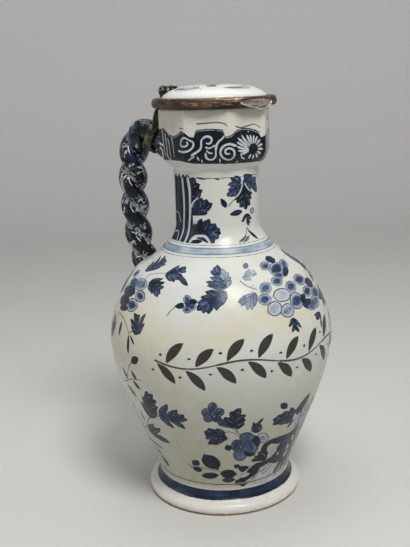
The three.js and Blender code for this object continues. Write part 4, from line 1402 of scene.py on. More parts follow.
for angle, height, wide, high, heading, tone, kind in PETALS:
    for side in sides_of(angle):
        place = jug_canvas.spot(side * angle, height)
        petal(jug_canvas, place, (0, 0), wide, high, tone, side * math.radians(heading), kind)
print("petals:", len(PETALS))

# %% Dabs and stems
# start, end, half width, tone
DABS = [
    ((-91.2, 157.7), (-78.9, 152.4), 1.8, 0.9), ((-83.7, 141.6), (-78.2, 142.8), 2.1, 0.93), ((4.1, 125.8),
    (1.6, 119), 1.2, 0.93), ((22.1, 131.5), (27.6, 124.6), 1.2, 0.9), ((-111.2, 120.4), (-110.7, 108.6),
    1.5, 0.94), ((-110.1, 120.7), (-105.8, 115.9), 0.9, 0.9), ((-119.2, 97.1), (-116, 89.7), 1.6, 0.92),
    ((-109.9, 97.8), (-106.9, 92.3), 1.7, 0.92), ((-110.4, 90.7), (-105.8, 86.4), 1.7, 0.95), ((-118.5, 85),
    (-112.1, 78.3), 1.9, 0.95), ((-115.2, 66.5), (-114.3, 60.2), 1.1, 0.9), ((-129.4, 44.3), (-105.7, 40.5),
    1.1, 0.97), ((-117.2, 38.6), (-113.2, 33.2), 0.9, 0.95), ((-114.6, 32.9), (-109.3, 25.2), 2.1, 0.97),
    ((-121.2, 117.6), (-120.8, 126.5), 1.6, 0.9), ((-125.8, 72.1), (-121.8, 66), 1.2, 0.6), ((-12.7, 61.9),
    (-16.7, 56.2), 1.4, 0.9), ((-13.9, 67.4), (-3.2, 77.6), 2.3, 0.95), ((-11, 66.4), (-2.8, 73.4), 1.8,
    0.93), ((-40.4, 65.4), (-36.6, 70.6), 1.2, 0.92), ((-41.8, 64.6), (-42.4, 69), 0.9, 0.9), ((11.4, 102),
    (15.8, 112), 2, 0.9), ((-152, 60), (-146, 66), 1.8, 0.92), ((-156, 128), (-149, 136), 2, 0.9),
]
STEMS = [
    [(-113.6, 150.5), (-115, 153.1), (-113, 155.2), (-106.9, 156.4), (-100.5, 157.1)], [(-87.7, 135.9),
    (-86.1, 139.1), (-83.6, 141.5)], [(-72.7, 145.7), (-70.7, 144.4), (-67.2, 145.3)], [(-128.2, 130.3),
    (-119.4, 128.1), (-113.6, 124.2), (-111.1, 120.7)], [(-111, 121.9), (-108.3, 123.8), (-104.5, 122.7)],
    [(-45.5, 154.6), (-42.5, 152.2), (-36.6, 149.6)], [(-108.3, 104.2), (-111.8, 99.6), (-114.6, 94.1),
    (-120, 87.7)], [(-122.5, 85.9), (-110.6, 92), (-102.3, 93.8)], [(-96.3, 70), (-101.8, 67.9),
    (-107.6, 64.2), (-116.5, 54.9), (-122, 50.8)], [(-106.2, 65.9), (-106.2, 65.1)], [(-86.2, 34.4),
    (-84.2, 32.8), (-77, 33), (-68.3, 31.3), (-60.2, 30.5)], [(-85.4, 31.4), (-81.5, 33.9)], [(-59.9, 61.3),
    (-57.1, 62.9), (-53.7, 62.2), (-49.8, 58.4)], [(-57.6, 68.8), (-54.5, 66.3), (-52.2, 63.4),
    (-49.5, 59.5)], [(-51.7, 65.7), (-51.1, 62.5), (-48.6, 59.4)], [(-43.5, 61.4), (-41.3, 61.3),
    (-39.3, 59.7)], [(-127, 150), (-134, 145), (-140, 140)], [(-121, 51.5), (-132, 60), (-143, 70)],
    [(-130.5, 116), (-128.5, 121), (-127.9, 129.9)], [(8, 58), (15, 62), (21, 64)], [(12, 146), (16, 149.6),
    (20, 152)], [(-157, 90), (-163, 97), (-166, 104)],
]


def dabbed(start, end, wide, tone, bend=0.0, layers=TOP_DABS, fullest=0.55, blunt=0.35):
    """A dab on the jug from one place to another."""
    place, (start, end) = jug_canvas.from_first([start, end])
    dab(jug_canvas, place, start, end, wide, tone, bend, layers, fullest, blunt)


def curve(points):
    """A smooth line through a few flat points."""
    return smooth_line(points, 8) if len(points) > 2 else np.asarray(points, float)


def stem(places, wide=0.35, tone=0.95, layers=LINE_LAYERS):
    """A thin line through places on the jug."""
    place, points = jug_canvas.from_first(places)
    line = curve(points)
    jug_canvas.stroke(layers, place, line, wide * np.linspace(1.15, 0.7, len(line)), tone)


for start, end, wide, tone in DABS:
    for side in sides_of(start[0]):
        dabbed(*placed([start, end], side), wide, tone)
for places in STEMS:
    for side in sides_of(places[0][0]):
        stem(placed(places, side))
print("dabs:", len(DABS), "stems:", len(STEMS))

# %% Seeds and stamens
# angle, height, from and to in millimetres, how many
SEEDS = [
    (-113.6, 141.8, (2.8, 4.2), (4, -3.6), 7), (-120, 153.4, (-6, -1), (3, 1.5), 5), (-25.4, 142.2, (-6, 0),
    (-0.6, -2.2), 6), (-19.6, 140.6, (0, -0.4), (6.4, 1.8), 7), (-24, 52.2, (-2, 0), (2, 0.4), 4), (-34.6,
    149, (-3.6, 3.6), (-6, -4), 6), (-9.6, 148, (3, 4), (4.6, -1), 5),
]


def seeds(middle, start, end, count, wide=0.42, layers=LINE_LAYERS):
    """A row of seeds on the jug from start to end, in millimetres from the middle."""
    place = jug_canvas.spot(*middle)
    for share in np.linspace(0, 1, count):
        spot = np.array(start) + (np.array(end) - np.array(start)) * share
        dot(jug_canvas, place, spot + (0, 0.5 * math.sin(share * math.pi)), wide, layers)


for angle, height, start, end, count in SEEDS:
    for side in sides_of(angle):
        seeds((side * angle, height), (side * start[0], start[1]), (side * end[0], end[1]), count)
print("rows of seeds:", len(SEEDS))

# %% [markdown]
# ## Rock, bank and the twig round the middle
#
# A dark rock with light holes stands at the foot of the flowers, with a pale bank of earth in front of
# it. Across the middle, where such jugs have room, runs a brown laurel twig.

# %% Rock and bank
# places, half width, tone
ROCK = [
    ([(-48.4, 19.8), (-42.9, 23.2), (-37.7, 27.3), (-33.5, 31.4), (-28.6, 32.1), (-23.5, 33.5)], 3.8, 0.96),
    ([(-48.8, 21), (-45, 18.8), (-40.2, 18.8)], 2.2, 0.97), ([(-31.6, 47), (-31.8, 40.6), (-28.8, 34.6)],
    3.4, 0.97), ([(-24.6, 33.8), (-17, 32.1), (-11.6, 33), (-10.8, 38.7)], 3.8, 0.94), ([(-31.7, 47.3),
    (-27.4, 49.6), (-21.4, 48.8), (-13.6, 48.4), (-8.3, 50.1), (-4, 54)], 3.3, 0.95), ([(-16.4, 46.5),
    (-13.8, 39.6), (-13.6, 32.7)], 3.6, 0.92), ([(-11.2, 46.4), (-2.5, 38), (-0.8, 29.2), (-3.9, 24.9),
    (-5.4, 19.6)], 2.8, 0.94), ([(-4.9, 51.6), (-0.5, 42.8), (4.9, 29.3), (1.1, 21.6)], 2.6, 0.88),
    ([(-50.5, 34.4), (-46, 32.2), (-41.4, 32.6)], 2, 0.97), ([(6, 50), (11, 40), (9, 28), (14, 19.8)], 3,
    0.9), ([(-3.9, 66), (0.4, 57.2), (-1.9, 49.1)], 3, 0.2), ([(4, 70), (7, 60), (5, 50)], 2.6, 0.3),
    ([(-20.5, 36), (-18.4, 41), (-16.6, 45.5)], 2.4, 0.95), ([(-28.4, 20), (-23.9, 22.6), (-18.4, 28.2)],
    6.4, 0.12),
]
# angle, height, half length, half width, heading in degrees
HOLES = [
    (-23.5, 40, 4.6, 3, 62), (-5.8, 33, 2.6, 1.6, 70), (-44.2, 25.9, 4, 2, 5),
]
BANK_LINES = [
    [(-36.5, 20.4), (-33.8, 24.7), (-28.8, 26.5), (-24.4, 27.7), (-22, 31.9)], [(-27.9, 23.2),
    (-22.7, 25.5), (-19.1, 29.6)], [(-15.5, 41.6), (-8.6, 41.8)], [(-13.6, 33), (-10, 27.4), (-9, 21),
    (-13, 17.4)], [(-8, 69), (-3.6, 58), (-6.2, 50)], [(-0.5, 70), (3.6, 58), (1.2, 49)], [(-3.6, 66),
    (0.2, 56), (-2, 51)],
]


def washed(places, wide, tone):
    """An uneven stroke through places on the jug, a pale one under the rest."""
    place, points = jug_canvas.from_first(places)
    line = curve(points)
    t = np.linspace(0, 1, len(line))
    width = wide * (0.85 + 0.2 * np.sin(9 * t + wide)) * (1 - 0.5 * t**6)
    jug_canvas.stroke(WASH if tone < 0.6 else TOP_DABS, place, line, width, tone)


for side in (1, -1):
    for places, wide, tone in ROCK:
        washed(placed(places, side), wide, tone)
    for places in BANK_LINES:
        stem(placed(places, side), 0.42)
    for angle, height, wide, high, heading in HOLES:
        middle = (side * angle, height)
        reach = turned([(wide, 0)], side * math.radians(heading))[0]
        dab(jug_canvas, jug_canvas.spot(*middle), -reach, reach, high, 1.0, 0.0, WHITE_LAYERS, 0.5, 0.5)
        seeds(middle, -reach * 0.5, reach * 0.5, 4, 0.55, UMBER)
        seeds(middle, (0.9, -0.8), (-0.8, 1.0), 2, 0.5, UMBER)
print("rock strokes:", len(ROCK))

# %% Laurel twig round the middle
TWIG_HEIGHT = 109.5
TWIG_START, TWIG_END = -92.0, 92.0
TWIG_LEAVES = 13


def twig_height(angle):
    return TWIG_HEIGHT + 2.6 * math.sin(math.radians(angle * 6.4 + 40))


twig_line = [(angle, twig_height(angle)) for angle in np.linspace(TWIG_START, TWIG_END, 61)]
for start in range(0, 60, 10):
    stem(twig_line[start:start + 11], 0.62, layers=UMBER)
for angle in np.linspace(TWIG_START + 4, TWIG_END - 4, TWIG_LEAVES):
    for side in (1, -1):
        foot = angle + 2.4 * side
        high = twig_height(foot) + 1.4 * side
        tip = (foot + 8.6, high + side * chance.uniform(10.6, 13.4))
        dabbed((foot, high), tip, 3.0, 1.0, 0.12, UMBER, 0.5, 0.2)
        dot(jug_canvas, jug_canvas.spot(foot - 3.2, high + side * 4.4), (0, 0), 1.25, UMBER)
print("twig with", 2 * TWIG_LEAVES, "leaves")

# %% [markdown]
# ## Neck and collar
#
# A dark panel stands on each side of the neck, with white stripes left out of it and large leaves along
# its edge. On the collar a blue ground is cut by white scrolls and a daisy. White on blue is a stroke
# like the others, which the material turns back into glaze.

# %% Neck
PANEL_STROKES = (-127.0, -117.0, -107.0, -99.6)
PANEL_HEIGHTS = (212.5, 200, 186, 171.4)
PANEL_WIDTHS = (3.0, 3.0, 3.2, 4.4)
WHITE_STRIPES = [
    ([(-109.7, 212.8), (-107.9, 202.3), (-108, 192.9), (-110.4, 181.4), (-111.5, 172.6)], 0.85),
    ([(-99.1, 213.2), (-96.5, 205.8), (-96.9, 193.4), (-99.7, 182), (-101.7, 172.6)], 0.95), ([(-130, 191),
    (-121.9, 190), (-117.1, 184.8)], 0.4), ([(-131.3, 178.1), (-122, 179), (-117.3, 173.4)], 0.4),
    ([(-95.2, 195), (-91, 198.5), (-83.9, 201.2)], 0.55), ([(-89, 185.3), (-85, 188.1), (-79.2, 189.7),
    (-71.1, 190.4)], 0.6), ([(-94.3, 174), (-89.8, 176.9), (-81.8, 177.7), (-75.2, 177.5), (-71, 175.6),
    (-67.6, 173)], 0.8),
]
PANEL_LEAVES = [
    ([(-95.5, 197.8), (-90.8, 213.9), (-80.5, 209.8), (-76.9, 206.2), (-86.7, 202.4)], 0.97, 1.5),
    ([(-96.1, 190.9), (-64.4, 197.9), (-85.4, 199.9), (-79, 201.6), (-72.2, 200.6), (-69.5, 194.1),
     (-71.5, 191.6)], 0.92, 1.3),
    ([(-94.3, 178.5), (-55.6, 181.9), (-79.3, 188.5), (-69.1, 188.5), (-61.5, 185.5), (-55.1, 178.9),
     (-58.3, 176.1), (-63, 173.7)], 0.92, 1.3),
]
SPRAY_LEAVES = [
    ([(-26.2, 210.6), (-40.5, 201.3), (-34.8, 214.2), (-40.7, 213.2), (-44.7, 208.9), (-44.3, 205.7),
     (-46.6, 202.4), (-33, 201)], 0.78, 1.2),
    ([(-21.4, 210.4), (-18.3, 192.2), (-9.3, 195), (-6.4, 198.4), (-4.8, 201.4), (-28.3, 194.4),
     (-33.2, 197.1), (-36, 199.1)], 0.94, 1.1),
    ([(-19.7, 211.5), (-0.4, 207), (9.5, 201.6), (7.7, 206.1), (7.4, 210.8), (-3, 212.9), (-12.2, 214),
     (-8.7, 205)], 0.84, 1.2),
    ([(-17.1, 189.6), (-14.2, 181.9), (-26.1, 184.9), (-7.3, 186.1), (-10.4, 183.8)], 0.94, 1.2),
]
SPRAY_STEMS = [
    ([(-23.3, 211.1), (-24.2, 206.8), (-29.1, 202.7), (-35.1, 200.5), (-38.5, 199.2)], 0.5),
    ([(-19.1, 208.8), (-14.6, 205.7), (-8.8, 203.7), (-1.8, 203.3)], 0.45),
]
# start, end, half width, tone
NECK_DABS = [
    ((-41.4, 190.5), (-24.1, 191.9), 1.9, 0.86), ((-53.5, 200.3), (-46.5, 194.9), 1.8, 0.92), ((-94.6, 174),
    (-77.4, 174.8), 1.5, 0.96), ((-16, 179.3), (-4, 173), 1.2, 0.9), ((-31.6, 174.1), (-17.5, 175.4), 1.7,
    0.35), ((-85.2, 213.6), (-72.2, 212.6), 0.6, 0.95), ((-60.9, 212.9), (-54.3, 212.4), 0.6, 0.9),
]
NECK_LINES = [
    [(-43.8, 195.7), (-38, 198.7), (-30.7, 201.1)], [(-34, 173.4), (-26, 175.2), (-19.8, 178.4),
    (-17.2, 181.4)], [(-17.2, 181.4), (-14.6, 178.6), (-9, 175.2), (-2, 173.2)], [(-27, 173.2),
    (-20.4, 175.4), (-15.2, 176.6)],
]

for side in (1, -1):
    for angle in PANEL_STROKES:
        place, line = jug_canvas.from_first([(side * angle, height) for height in PANEL_HEIGHTS])
        jug_canvas.stroke(WASH, place, line, PANEL_WIDTHS, 0.97)
    for places, tone, wide in PANEL_LEAVES:
        leaf(jug_canvas, placed(places, side), tone, wide)
    for places, wide in WHITE_STRIPES:
        stem(placed(places, side), wide, 1.0, WHITE_LAYERS)
for turn_by in (0, 180):
    for places, tone, wide in SPRAY_LEAVES:
        leaf(jug_canvas, placed(places, turn_by=turn_by), tone, wide)
    for places, wide in SPRAY_STEMS:
        stem(placed(places, turn_by=turn_by), wide, 1.0, WHITE_LAYERS)
    for start, end, wide, tone in NECK_DABS:
        dabbed(*placed([start, end], turn_by=turn_by), wide, tone)
    for places in NECK_LINES:
        stem(placed(places, turn_by=turn_by), 0.34)
    bud = jug_canvas.spot(-5.6 + turn_by, 191.1)
    petal(jug_canvas, bud, (0, 0), 2.0, 1.6, 0.3, 0.0, OUTLINED_PETAL)
print("strokes on the neck:", len(WHITE_STRIPES) + len(NECK_DABS) + len(NECK_LINES))

# %% Collar
GROUND_BOTTOM = [
    (-180, 223), (-101, 224), (-82, 222.5), (-61, 222.3), (-36, 221.9), (4, 221.5), (90, 222.6), (180, 223),
]
LAPPET_TOPS = [
    (-180, 238), (-150, 240), (-126, 243.6), (-118, 240), (-107.4, 238.9), (-100, 240.4), (-94.2, 242.4),
    (-90, 241.4), (-85.2, 238.7), (-80.8, 238.4), (-79.2, 242.2), (-76, 243), (-62, 243.4), (-51, 242.6),
    (-49, 238.4), (-42.8, 239.4), (-38.6, 241.6), (-30, 243), (-20, 242.6), (-10, 240.6), (-5, 236.4),
    (4, 238.6), (16, 239.8), (27.5, 240.6), (34, 240),
]
SQUARE_SCROLL = [
    (-99.6, 230.2), (-90.5, 229.8), (-84.8, 231), (-81.7, 233.1), (-81.6, 235.4), (-84.4, 236.5),
    (-89.9, 238.4), (-93.7, 237.2), (-95.9, 234.9), (-95.4, 233.4), (-89.5, 233.1), (-86.8, 234.4),
    (-87.6, 235.9),
]
# places, half width
SCROLLS = [
    ([(-83.5, 227.7), (-79, 229.4), (-75.3, 230.9), (-73.5, 233.3), (-73.5, 236.2), (-70.8, 238.2),
     (-66.2, 238.8), (-62.8, 237.6), (-63.1, 235.5), (-65.8, 234.4), (-68.1, 234.9)], 0.62),
    ([(-69, 232.4), (-65.5, 231.8), (-61.4, 232.8), (-58.1, 233.9)], 0.45),
    ([(-68.1, 230.3), (-65.7, 229.1), (-62.2, 228.8)], 0.45),
    ([(-69.2, 228.7), (-69, 226.5), (-66, 225.1), (-61.8, 225.2), (-59, 227), (-58.7, 230.5),
     (-57.7, 233.7), (-55.2, 235.8), (-52.3, 237.2), (-49.9, 238.9)], 0.6),
    ([(-38.3, 232.8), (-45.1, 234), (-49.6, 233.4), (-53.1, 231.5), (-54.2, 229.2), (-52.7, 226.8),
     (-48.7, 225), (-44.2, 224.7), (-40.5, 226.2), (-39.9, 228.7), (-41.9, 230.7), (-46, 231.6),
     (-48.8, 230.9), (-49.6, 229.5), (-48.3, 228.3), (-45.4, 228.4)], 0.62),
    ([(-87.7, 224.5), (-84.6, 225.9), (-81.3, 226.9)], 0.45),
    ([(-36.6, 222.3), (-34.4, 223.7)], 0.35),
    ([(-32.2, 227.7), (-30.5, 225.4), (-26.2, 224.3)], 0.45),
    ([(-78, 226.4), (-76.7, 224.7)], 0.5),
    ([(-73.9, 224.9), (-73.6, 223)], 0.4),
    ([(-54.8, 225.3), (-54.6, 222.8)], 0.4),
]
DAISY = (-15.7, 229.9)
DAISY_TIPS = [
    (-36.1, 237.6), (-37.2, 235), (-37.8, 232.3), (-36, 229.7), (-32.5, 227.6), (-31.3, 239.1),
    (-24, 239.1), (-19.3, 238.7), (-14.3, 238.3), (-9.7, 237.4), (-6, 235.2), (-3.6, 232.3), (-3.2, 229.3),
    (-5.3, 226.4), (-8.5, 224.1), (-14.8, 223.5), (-21.6, 224.3),
]
LAPPET_LINES = [
    ([(-77.4, 246.2), (-68.9, 246.5), (-55.7, 246.8), (-50, 246.1), (-47.3, 244.7)], 0.42),
    ([(-37.7, 244.1), (-31.6, 243.1), (-21.2, 244.1), (-13.3, 244.6), (-6.3, 242.4)], 0.42),
    ([(-14.7, 241.5), (-6.4, 239.3)], 0.35),
]
# angle, upper end, lower end
FOLDS = [(-129, 242, 226), (-124, 240, 224.5), (-119, 237, 225.5), (-112, 238, 226.5)]


def white_scroll(places, wide):
    """A white line in two halves on two layers, so that a curl's turns don't share one."""
    half = len(places) // 2
    for part, layer in ((places[:half + 1], WHITE_LAYERS[0]), (places[half:], WHITE_LAYERS[1])):
        if len(part) > 1:
            stem(part, wide, 1.0, [layer])


def daisy(turn_by):
    middle, (_, *tips) = jug_canvas.from_first(placed([DAISY, *DAISY_TIPS], turn_by=turn_by))
    for tip in tips:
        dab(jug_canvas, middle, tip / np.hypot(*tip) * 3.5, tip, 0.74, 1.0, 0.1, WHITE_LAYERS, 0.66, 0.4)


for turn_by in (0, 90, 180, 270):
    for places, wide in SCROLLS:
        white_scroll(placed(places, turn_by=turn_by), wide)
    if turn_by < 270:
        for places, wide in LAPPET_LINES:
            stem(placed(places, turn_by=turn_by), wide)
        daisy(turn_by)
        dot(jug_canvas, jug_canvas.spot(-21.9 + turn_by, 240.5), (0, 0), 0.6, WHITE_LAYERS)
for turn_by in (0, 180):
    white_scroll(placed(SQUARE_SCROLL, turn_by=turn_by), 0.55)
    stem(placed([(-97.2, 243.8), (-90.1, 243.5)], turn_by=turn_by), 0.3)
    for angle, high, low in FOLDS:
        fold = [(angle, high), (angle + 2, 234.0), (angle + 4, low)]
        stem(placed(fold, turn_by=turn_by), 0.45, 0.8, WHITE_LAYERS)
jug_canvas.store(jug_skin, BARE_ROWS)
print("scrolls on the collar:", 4 * len(SCROLLS) + 2)

# %% Blue ground of the collar
NO_GROUND = -9
LAST_LAPPET = 34
ring_angle = np.degrees(np.arctan2(jug_rings[:, :, 1], jug_rings[:, :, 0]))
ring_height = jug_rings[:, :, 2]


def top_of_ground(angle):
    """The lappets' upper edge. The seen lappets are painted again round the back, a quarter turn apart."""
    again = np.where(angle > LAST_LAPPET, angle - 90, angle)
    again = np.where(angle > 90, angle - 180, again)
    return np.interp(again, *np.transpose(LAPPET_TOPS))


edge_up = ring_height - np.interp(ring_angle, *np.transpose(GROUND_BOTTOM))
edge_down = top_of_ground(ring_angle) - ring_height
ground = np.minimum(edge_up, edge_down)
ground[is_inside_row] = NO_GROUND
mark(jug_skin, "ground", np.append(ground.ravel(), (NO_GROUND, NO_GROUND)))
print("ground covers", int((ground > 0).sum()), "points")

# %% [markdown]
# The lid's dome carries four pale washes with dark outlines near its edge, four sprigs, and a small
# flower in the middle. A dome is painted as seen from above, so places are measured from its middle.
# The jug's way of measuring, by angle and height, would crowd all strokes together at the top.

# %% Paint on the dome
WASH_REACH = 23.0
WASH_TURNS = (-106, -18, 74, 162)
SPRIG_TURNS = (-62, 28, 118, 208)
FLOWER_REACH = 8.6
FLOWER_PETALS = 6
PETAL_SIZE = 0.36
HEART_SIZE = 0.34


class TopCanvas(Canvas):
    """A canvas seen from above, where a place is right and forward of the middle."""

    def near(self, place, low, high):
        row, column = np.meshgrid(np.arange(len(self.rows) - 1), np.arange(self.columns), indexing="ij")
        row, column = row.ravel(), column.ravel()
        corner_row = row[:, None] + [0, 0, 1, 1]
        angle = (column[:, None] + [0, 1, 1, 0]) * self.step
        out = self.run[-1] - self.run[corner_row]
        at = np.stack([out * np.cos(angle), out * np.sin(angle)], axis=-1) - np.asarray(place)
        close = ((at.mean(axis=1) > low) & (at.mean(axis=1) < high)).all(axis=1)
        return row[close], column[close], at[close]

    def spot(self, right, forward):
        return np.array([right, forward], float)

    def between(self, start, end):
        return end - start


def towards(angle, reach):
    """A place on the dome at an angle in degrees and so many millimetres out."""
    return reach * np.array([math.cos(math.radians(angle)), math.sin(math.radians(angle))])


dome_first = len(dome_rows) - DOME_ROWS
dome_canvas = TopCanvas(dome_rows[::-1][dome_first:], LID_COLUMNS)
for angle in WASH_TURNS:
    start, middle, end = [towards(angle + lean, WASH_REACH) for lean in (-25, 4, 23)]
    dab(dome_canvas, (0, 0), start, end, 2.7, 0.24, -0.22, WASH)
    dab(dome_canvas, (0, 0), start, middle * 1.05, 1.3, 0.56, -0.2)
    dab(dome_canvas, (0, 0), towards(angle + 8, 18.5), end, 1.6, 0.36, 0.2)
    outline = [(-28, 0.5), (-10, 3.4), (10, 3.2), (25, 0.4), (31, 2.6)]
    outline = [towards(angle + lean, WASH_REACH + out) for lean, out in outline]
    dome_canvas.stroke(LINE_LAYERS, (0, 0), curve(outline), 0.3, 0.8)
for angle in SPRIG_TURNS:
    way, aside = towards(angle, 1), towards(angle + 90, 1)
    tips = [(9.5, 0), (20, 0), (20, 2.8), (20, -2.8), (14, 4.4), (14, -4.4)]
    leaf(dome_canvas, [way * out + aside * lean for out, lean in tips], 0.8)
for i in range(FLOWER_PETALS):
    angle = math.radians(90 + 360 * i / FLOWER_PETALS + chance.uniform(-5, 5))
    middle = FLOWER_REACH * (1 - PETAL_SIZE) * np.array([math.cos(angle), math.sin(angle)])
    size = FLOWER_REACH * PETAL_SIZE
    petal(dome_canvas, (0, 0), middle, size * 1.05, size * 0.88, 0.75 + chance.uniform(-0.15, 0.15), angle)
heart = FLOWER_REACH * HEART_SIZE
petal(dome_canvas, (0, 0), (0, 0), heart * 1.1, heart * 0.8, 0.25, kind=OUTLINED_PETAL)
dome_canvas.store(lid_dome, dome_first)
print("washes:", len(WASH_TURNS), "sprigs:", len(SPRIG_TURNS), "petals:", FLOWER_PETALS)

# %% [markdown]
# ## Glaze with its brushwork
#
# Tin glaze is white, opaque and glossy, a little uneven and yellowish where it is thick. The lower body is
# made greyer as painted shade, and the foot's edge paler as painted light. Cobalt sinks into it: a wash is
# streaky along the brush, and darker at its edge where the colour pooled. The material lays the stored
# strokes over the glaze in the painter's order: grounds, dabs, petals and bands, then white left out of
# the blue, thin lines, and brown last.

# %% Reading strokes in a material
BLUE_STOPS = [
    (0.0, colour(198, 206, 210)), (0.22, colour(152, 168, 184)), (0.45, colour(88, 108, 138)),
    (0.68, colour(42, 62, 96)), (0.86, colour(22, 34, 60)), (1.0, colour(11, 15, 27)),
]
BRUSH_WOBBLE = 0.55


class Brushwork:
    """Adds up the blue on a glaze: how much of it there is, and its tone."""

    def __init__(self, finish):
        self.finish = finish
        self.edge = (finish.noise(1.7, detail=3) - 0.5) * BRUSH_WOBBLE
        self.pool = finish.noise(7, detail=3) - 0.5
        self.cover = None
        self.tone = None

    def read(self, name):
        """How far inside a layer's strokes the surface is, and the strokes' three numbers."""
        vector = self.finish.node("ShaderNodeAttribute", {"attribute_name": name}, {}, "Vector")
        away = self.finish.node("ShaderNodeSeparateXYZ", {}, {0: vector}, "X")
        wide, tone = away.output("Y"), away.output("Z")
        return wide - abs(away), away, wide, tone

    def blend(self, cover, shade):
        """Lays a shade over what is there. The first one has nothing under it."""
        if self.cover is None:
            self.cover, self.tone = cover, shade
        else:
            self.tone = self.tone + (shade - self.tone) * cover
            self.cover = self.cover.math("MAXIMUM", cover)

    def lay(self, inside, tone, streak):
        """Lays blue where inside is above 0, in millimetres from the edge."""
        shade = inside.ramp(0.1, 0.9, 0.17, 0.0) + tone - (streak - 0.4) * 0.5 - self.pool * 0.3
        self.blend(inside.ramp(-0.12, 0.16), shade)

    def lay_strokes(self, name):
        inside, away, wide, tone = self.read(name)
        along = self.finish.node("ShaderNodeCombineXYZ", {}, {0: away * 1.5, 1: wide * 0.5, 2: tone * 9})
        inputs = {"Vector": along, "Scale": 1, "Detail": 2}
        self.lay(inside + self.edge, tone, self.finish.node("ShaderNodeTexNoise", {}, inputs, "Fac"))

    def lay_hearts(self, name):
        """Lays soft dabs, pale at their edge and full in their middle."""
        inside, _, _, tone = self.read(name)
        inside = inside + self.edge
        shade = tone * inside.ramp(0.0, 2.2, 0.62, 1.0) - self.pool * 0.5
        self.blend(inside.ramp(-0.1, 0.8), shade - (self.finish.noise(1.6) - 0.5) * 0.5)

    def lay_band(self, middle, half_width, tone, sway, margin):
        """A band turned on the wheel, round the form at one height, with a margin of bare glaze."""
        noise = self.finish.noise
        from_middle = abs(self.finish.height() - middle + (noise(28) - 0.5) * sway)
        if margin:
            bare = half_width + margin
            self.cover = self.cover * from_middle.ramp(bare - 0.1, bare + 0.1)
        streak = noise(9, detail=3, stretch=(0.5, 0.5, 7))
        self.lay(half_width - from_middle + self.edge, tone + (noise(13) - 0.5) * 0.6, streak)

    def share_of(self, names, softness=0.14):
        """How much of the surface the strokes of some layers cover. Their tone is their strength."""
        total = None
        for name in names:
            inside, _, _, tone = self.read(name)
            cover = (inside + self.edge * 0.5).ramp(-softness, softness) * tone
            total = cover if total is None else total.math("MAXIMUM", cover)
        return total


print("blues:", len(BLUE_STOPS))

# %% Glaze
# middle, half width, tone, sway, margin
JUG_BANDS = [
    (11.8, 3.0, 0.86, 0.5, 0.6), (19.4, 0.34, 0.8, 1.2, 0.3), (169.2, 1.9, 0.24, 0.6, 2.2),
    (172.5, 0.14, 0.2, 0.6, 0), (166.1, 0.14, 0.2, 0.6, 0), (213.0, 0.22, 0.8, 2.4, 0),
]


def layered(finish, surface, *layers):
    """A colour with others laid over it in order, each given by its share and its colour."""
    for share, above in layers:
        surface = finish.mix(share, surface, above)
    return surface


def bare_glaze(finish):
    """The unpainted glaze: its flaws, painted shade on the lower body and painted light at the foot."""
    height, noise = finish.height(), finish.noise
    warm = noise(60, detail=3).ramp(0.42, 0.62)
    warm_low = warm * height.ramp(20, 70, 1.0, 0.75) * height.ramp(128, 165, 1.0, 0.25)
    on_collar = height.ramp(229, 238, 0.0, 0.6) * height.ramp(254, 257, 1.0, 0.0)
    cells = {"Vector": finish.place, "Scale": 1 / (9 * MM)}
    crack = finish.node("ShaderNodeTexVoronoi", {"feature": "DISTANCE_TO_EDGE"}, cells, "Distance")
    crack = crack.ramp(0.0, 0.016, 1.0, 0.0) * noise(26).ramp(0.5, 0.62)
    pits = {"Vector": finish.place, "Scale": 1 / (6 * MM)}
    pinhole = finish.node("ShaderNodeTexVoronoi", {}, pits, "Distance").ramp(0.03, 0.055, 1.0, 0.0)
    return layered(
        finish, colour(219, 221, 217),
        (warm_low * height.ramp(13, 24, 0.15, 1.0), colour(219, 212, 186)),
        # painted shade: the lower body greyer, most just above the waist and fading out towards the belly
        (height.ramp(40, 125, 0.8, 0.0) * height.ramp(12, 20), colour(174, 174, 157)),
        # painted light: the foot's edge paler, as where light from above falls on it
        (height.ramp(7.6, 9.4, 0.85, 0.0), colour(240, 238, 230)),
        (on_collar * (warm * 0.5 + 0.5), colour(218, 208, 178)),
        (noise(14, stretch=(0.15, 0.15, 6)).ramp(0.5, 0.75) * 0.22, colour(206, 205, 192)),
        (noise(22, detail=5, roughness=0.6).ramp(0.56, 0.78) * 0.28, colour(190, 190, 176)),
        (crack * 0.22, colour(150, 138, 112)),
        (pinhole * noise(15).ramp(0.56, 0.6) * 0.75, colour(92, 74, 56)),
    )


def painted_glaze(name, bands, grounds=()):
    finish = Finish(name)
    brush = Brushwork(finish)
    for ground in grounds:
        brush.lay(finish.attribute(ground) + brush.edge * 1.4, 1.04, finish.noise(4, detail=4))
    for layer in DAB_LAYERS:
        brush.lay_strokes(layer)
    brush.lay_hearts(HEART)
    for band in bands:
        brush.lay_band(*band)
    blue = finish.node("ShaderNodeValToRGB", {"stops": BLUE_STOPS}, {0: brush.tone}, "Color")
    brown = finish.mix(finish.noise(5, detail=3), colour(14, 9, 9), colour(36, 23, 20))
    return finish, layered(
        finish, bare_glaze(finish), (brush.cover, blue),
        (brush.share_of(WHITE_LAYERS) * brush.cover * 0.94, colour(203, 212, 214)),
        (brush.share_of(LINE_LAYERS, 0.1) * 0.88, colour(20, 26, 42)),
        (brush.share_of([UMBER], 0.12) * 0.95, brown),
    )


def glossy(finish, surface, low=0.13, high=0.3, gleam=0.3):
    finish.set(base_color=surface, roughness=finish.noise(18, detail=4).ramp(0.3, 0.7, low, high))
    finish.set(specular_ior_level=gleam)
    finish.bump(finish.noise(11) * 0.8 + finish.noise(1.6, detail=3) * 0.2, 0.35)


lid_finish, lid_surface = painted_glaze("tin glaze, lid", [])
glossy(lid_finish, lid_surface)
dress(lid_dome, lid_finish)
print("lid glaze nodes:", len(lid_finish.tree.nodes))

# %% [markdown]
# The jug's glaze has two more things. The collar's blue ground ends in a pale line along the lappets.
# Round the foot the glaze is worn, and the ring that it stands on was wiped clean to the clay.

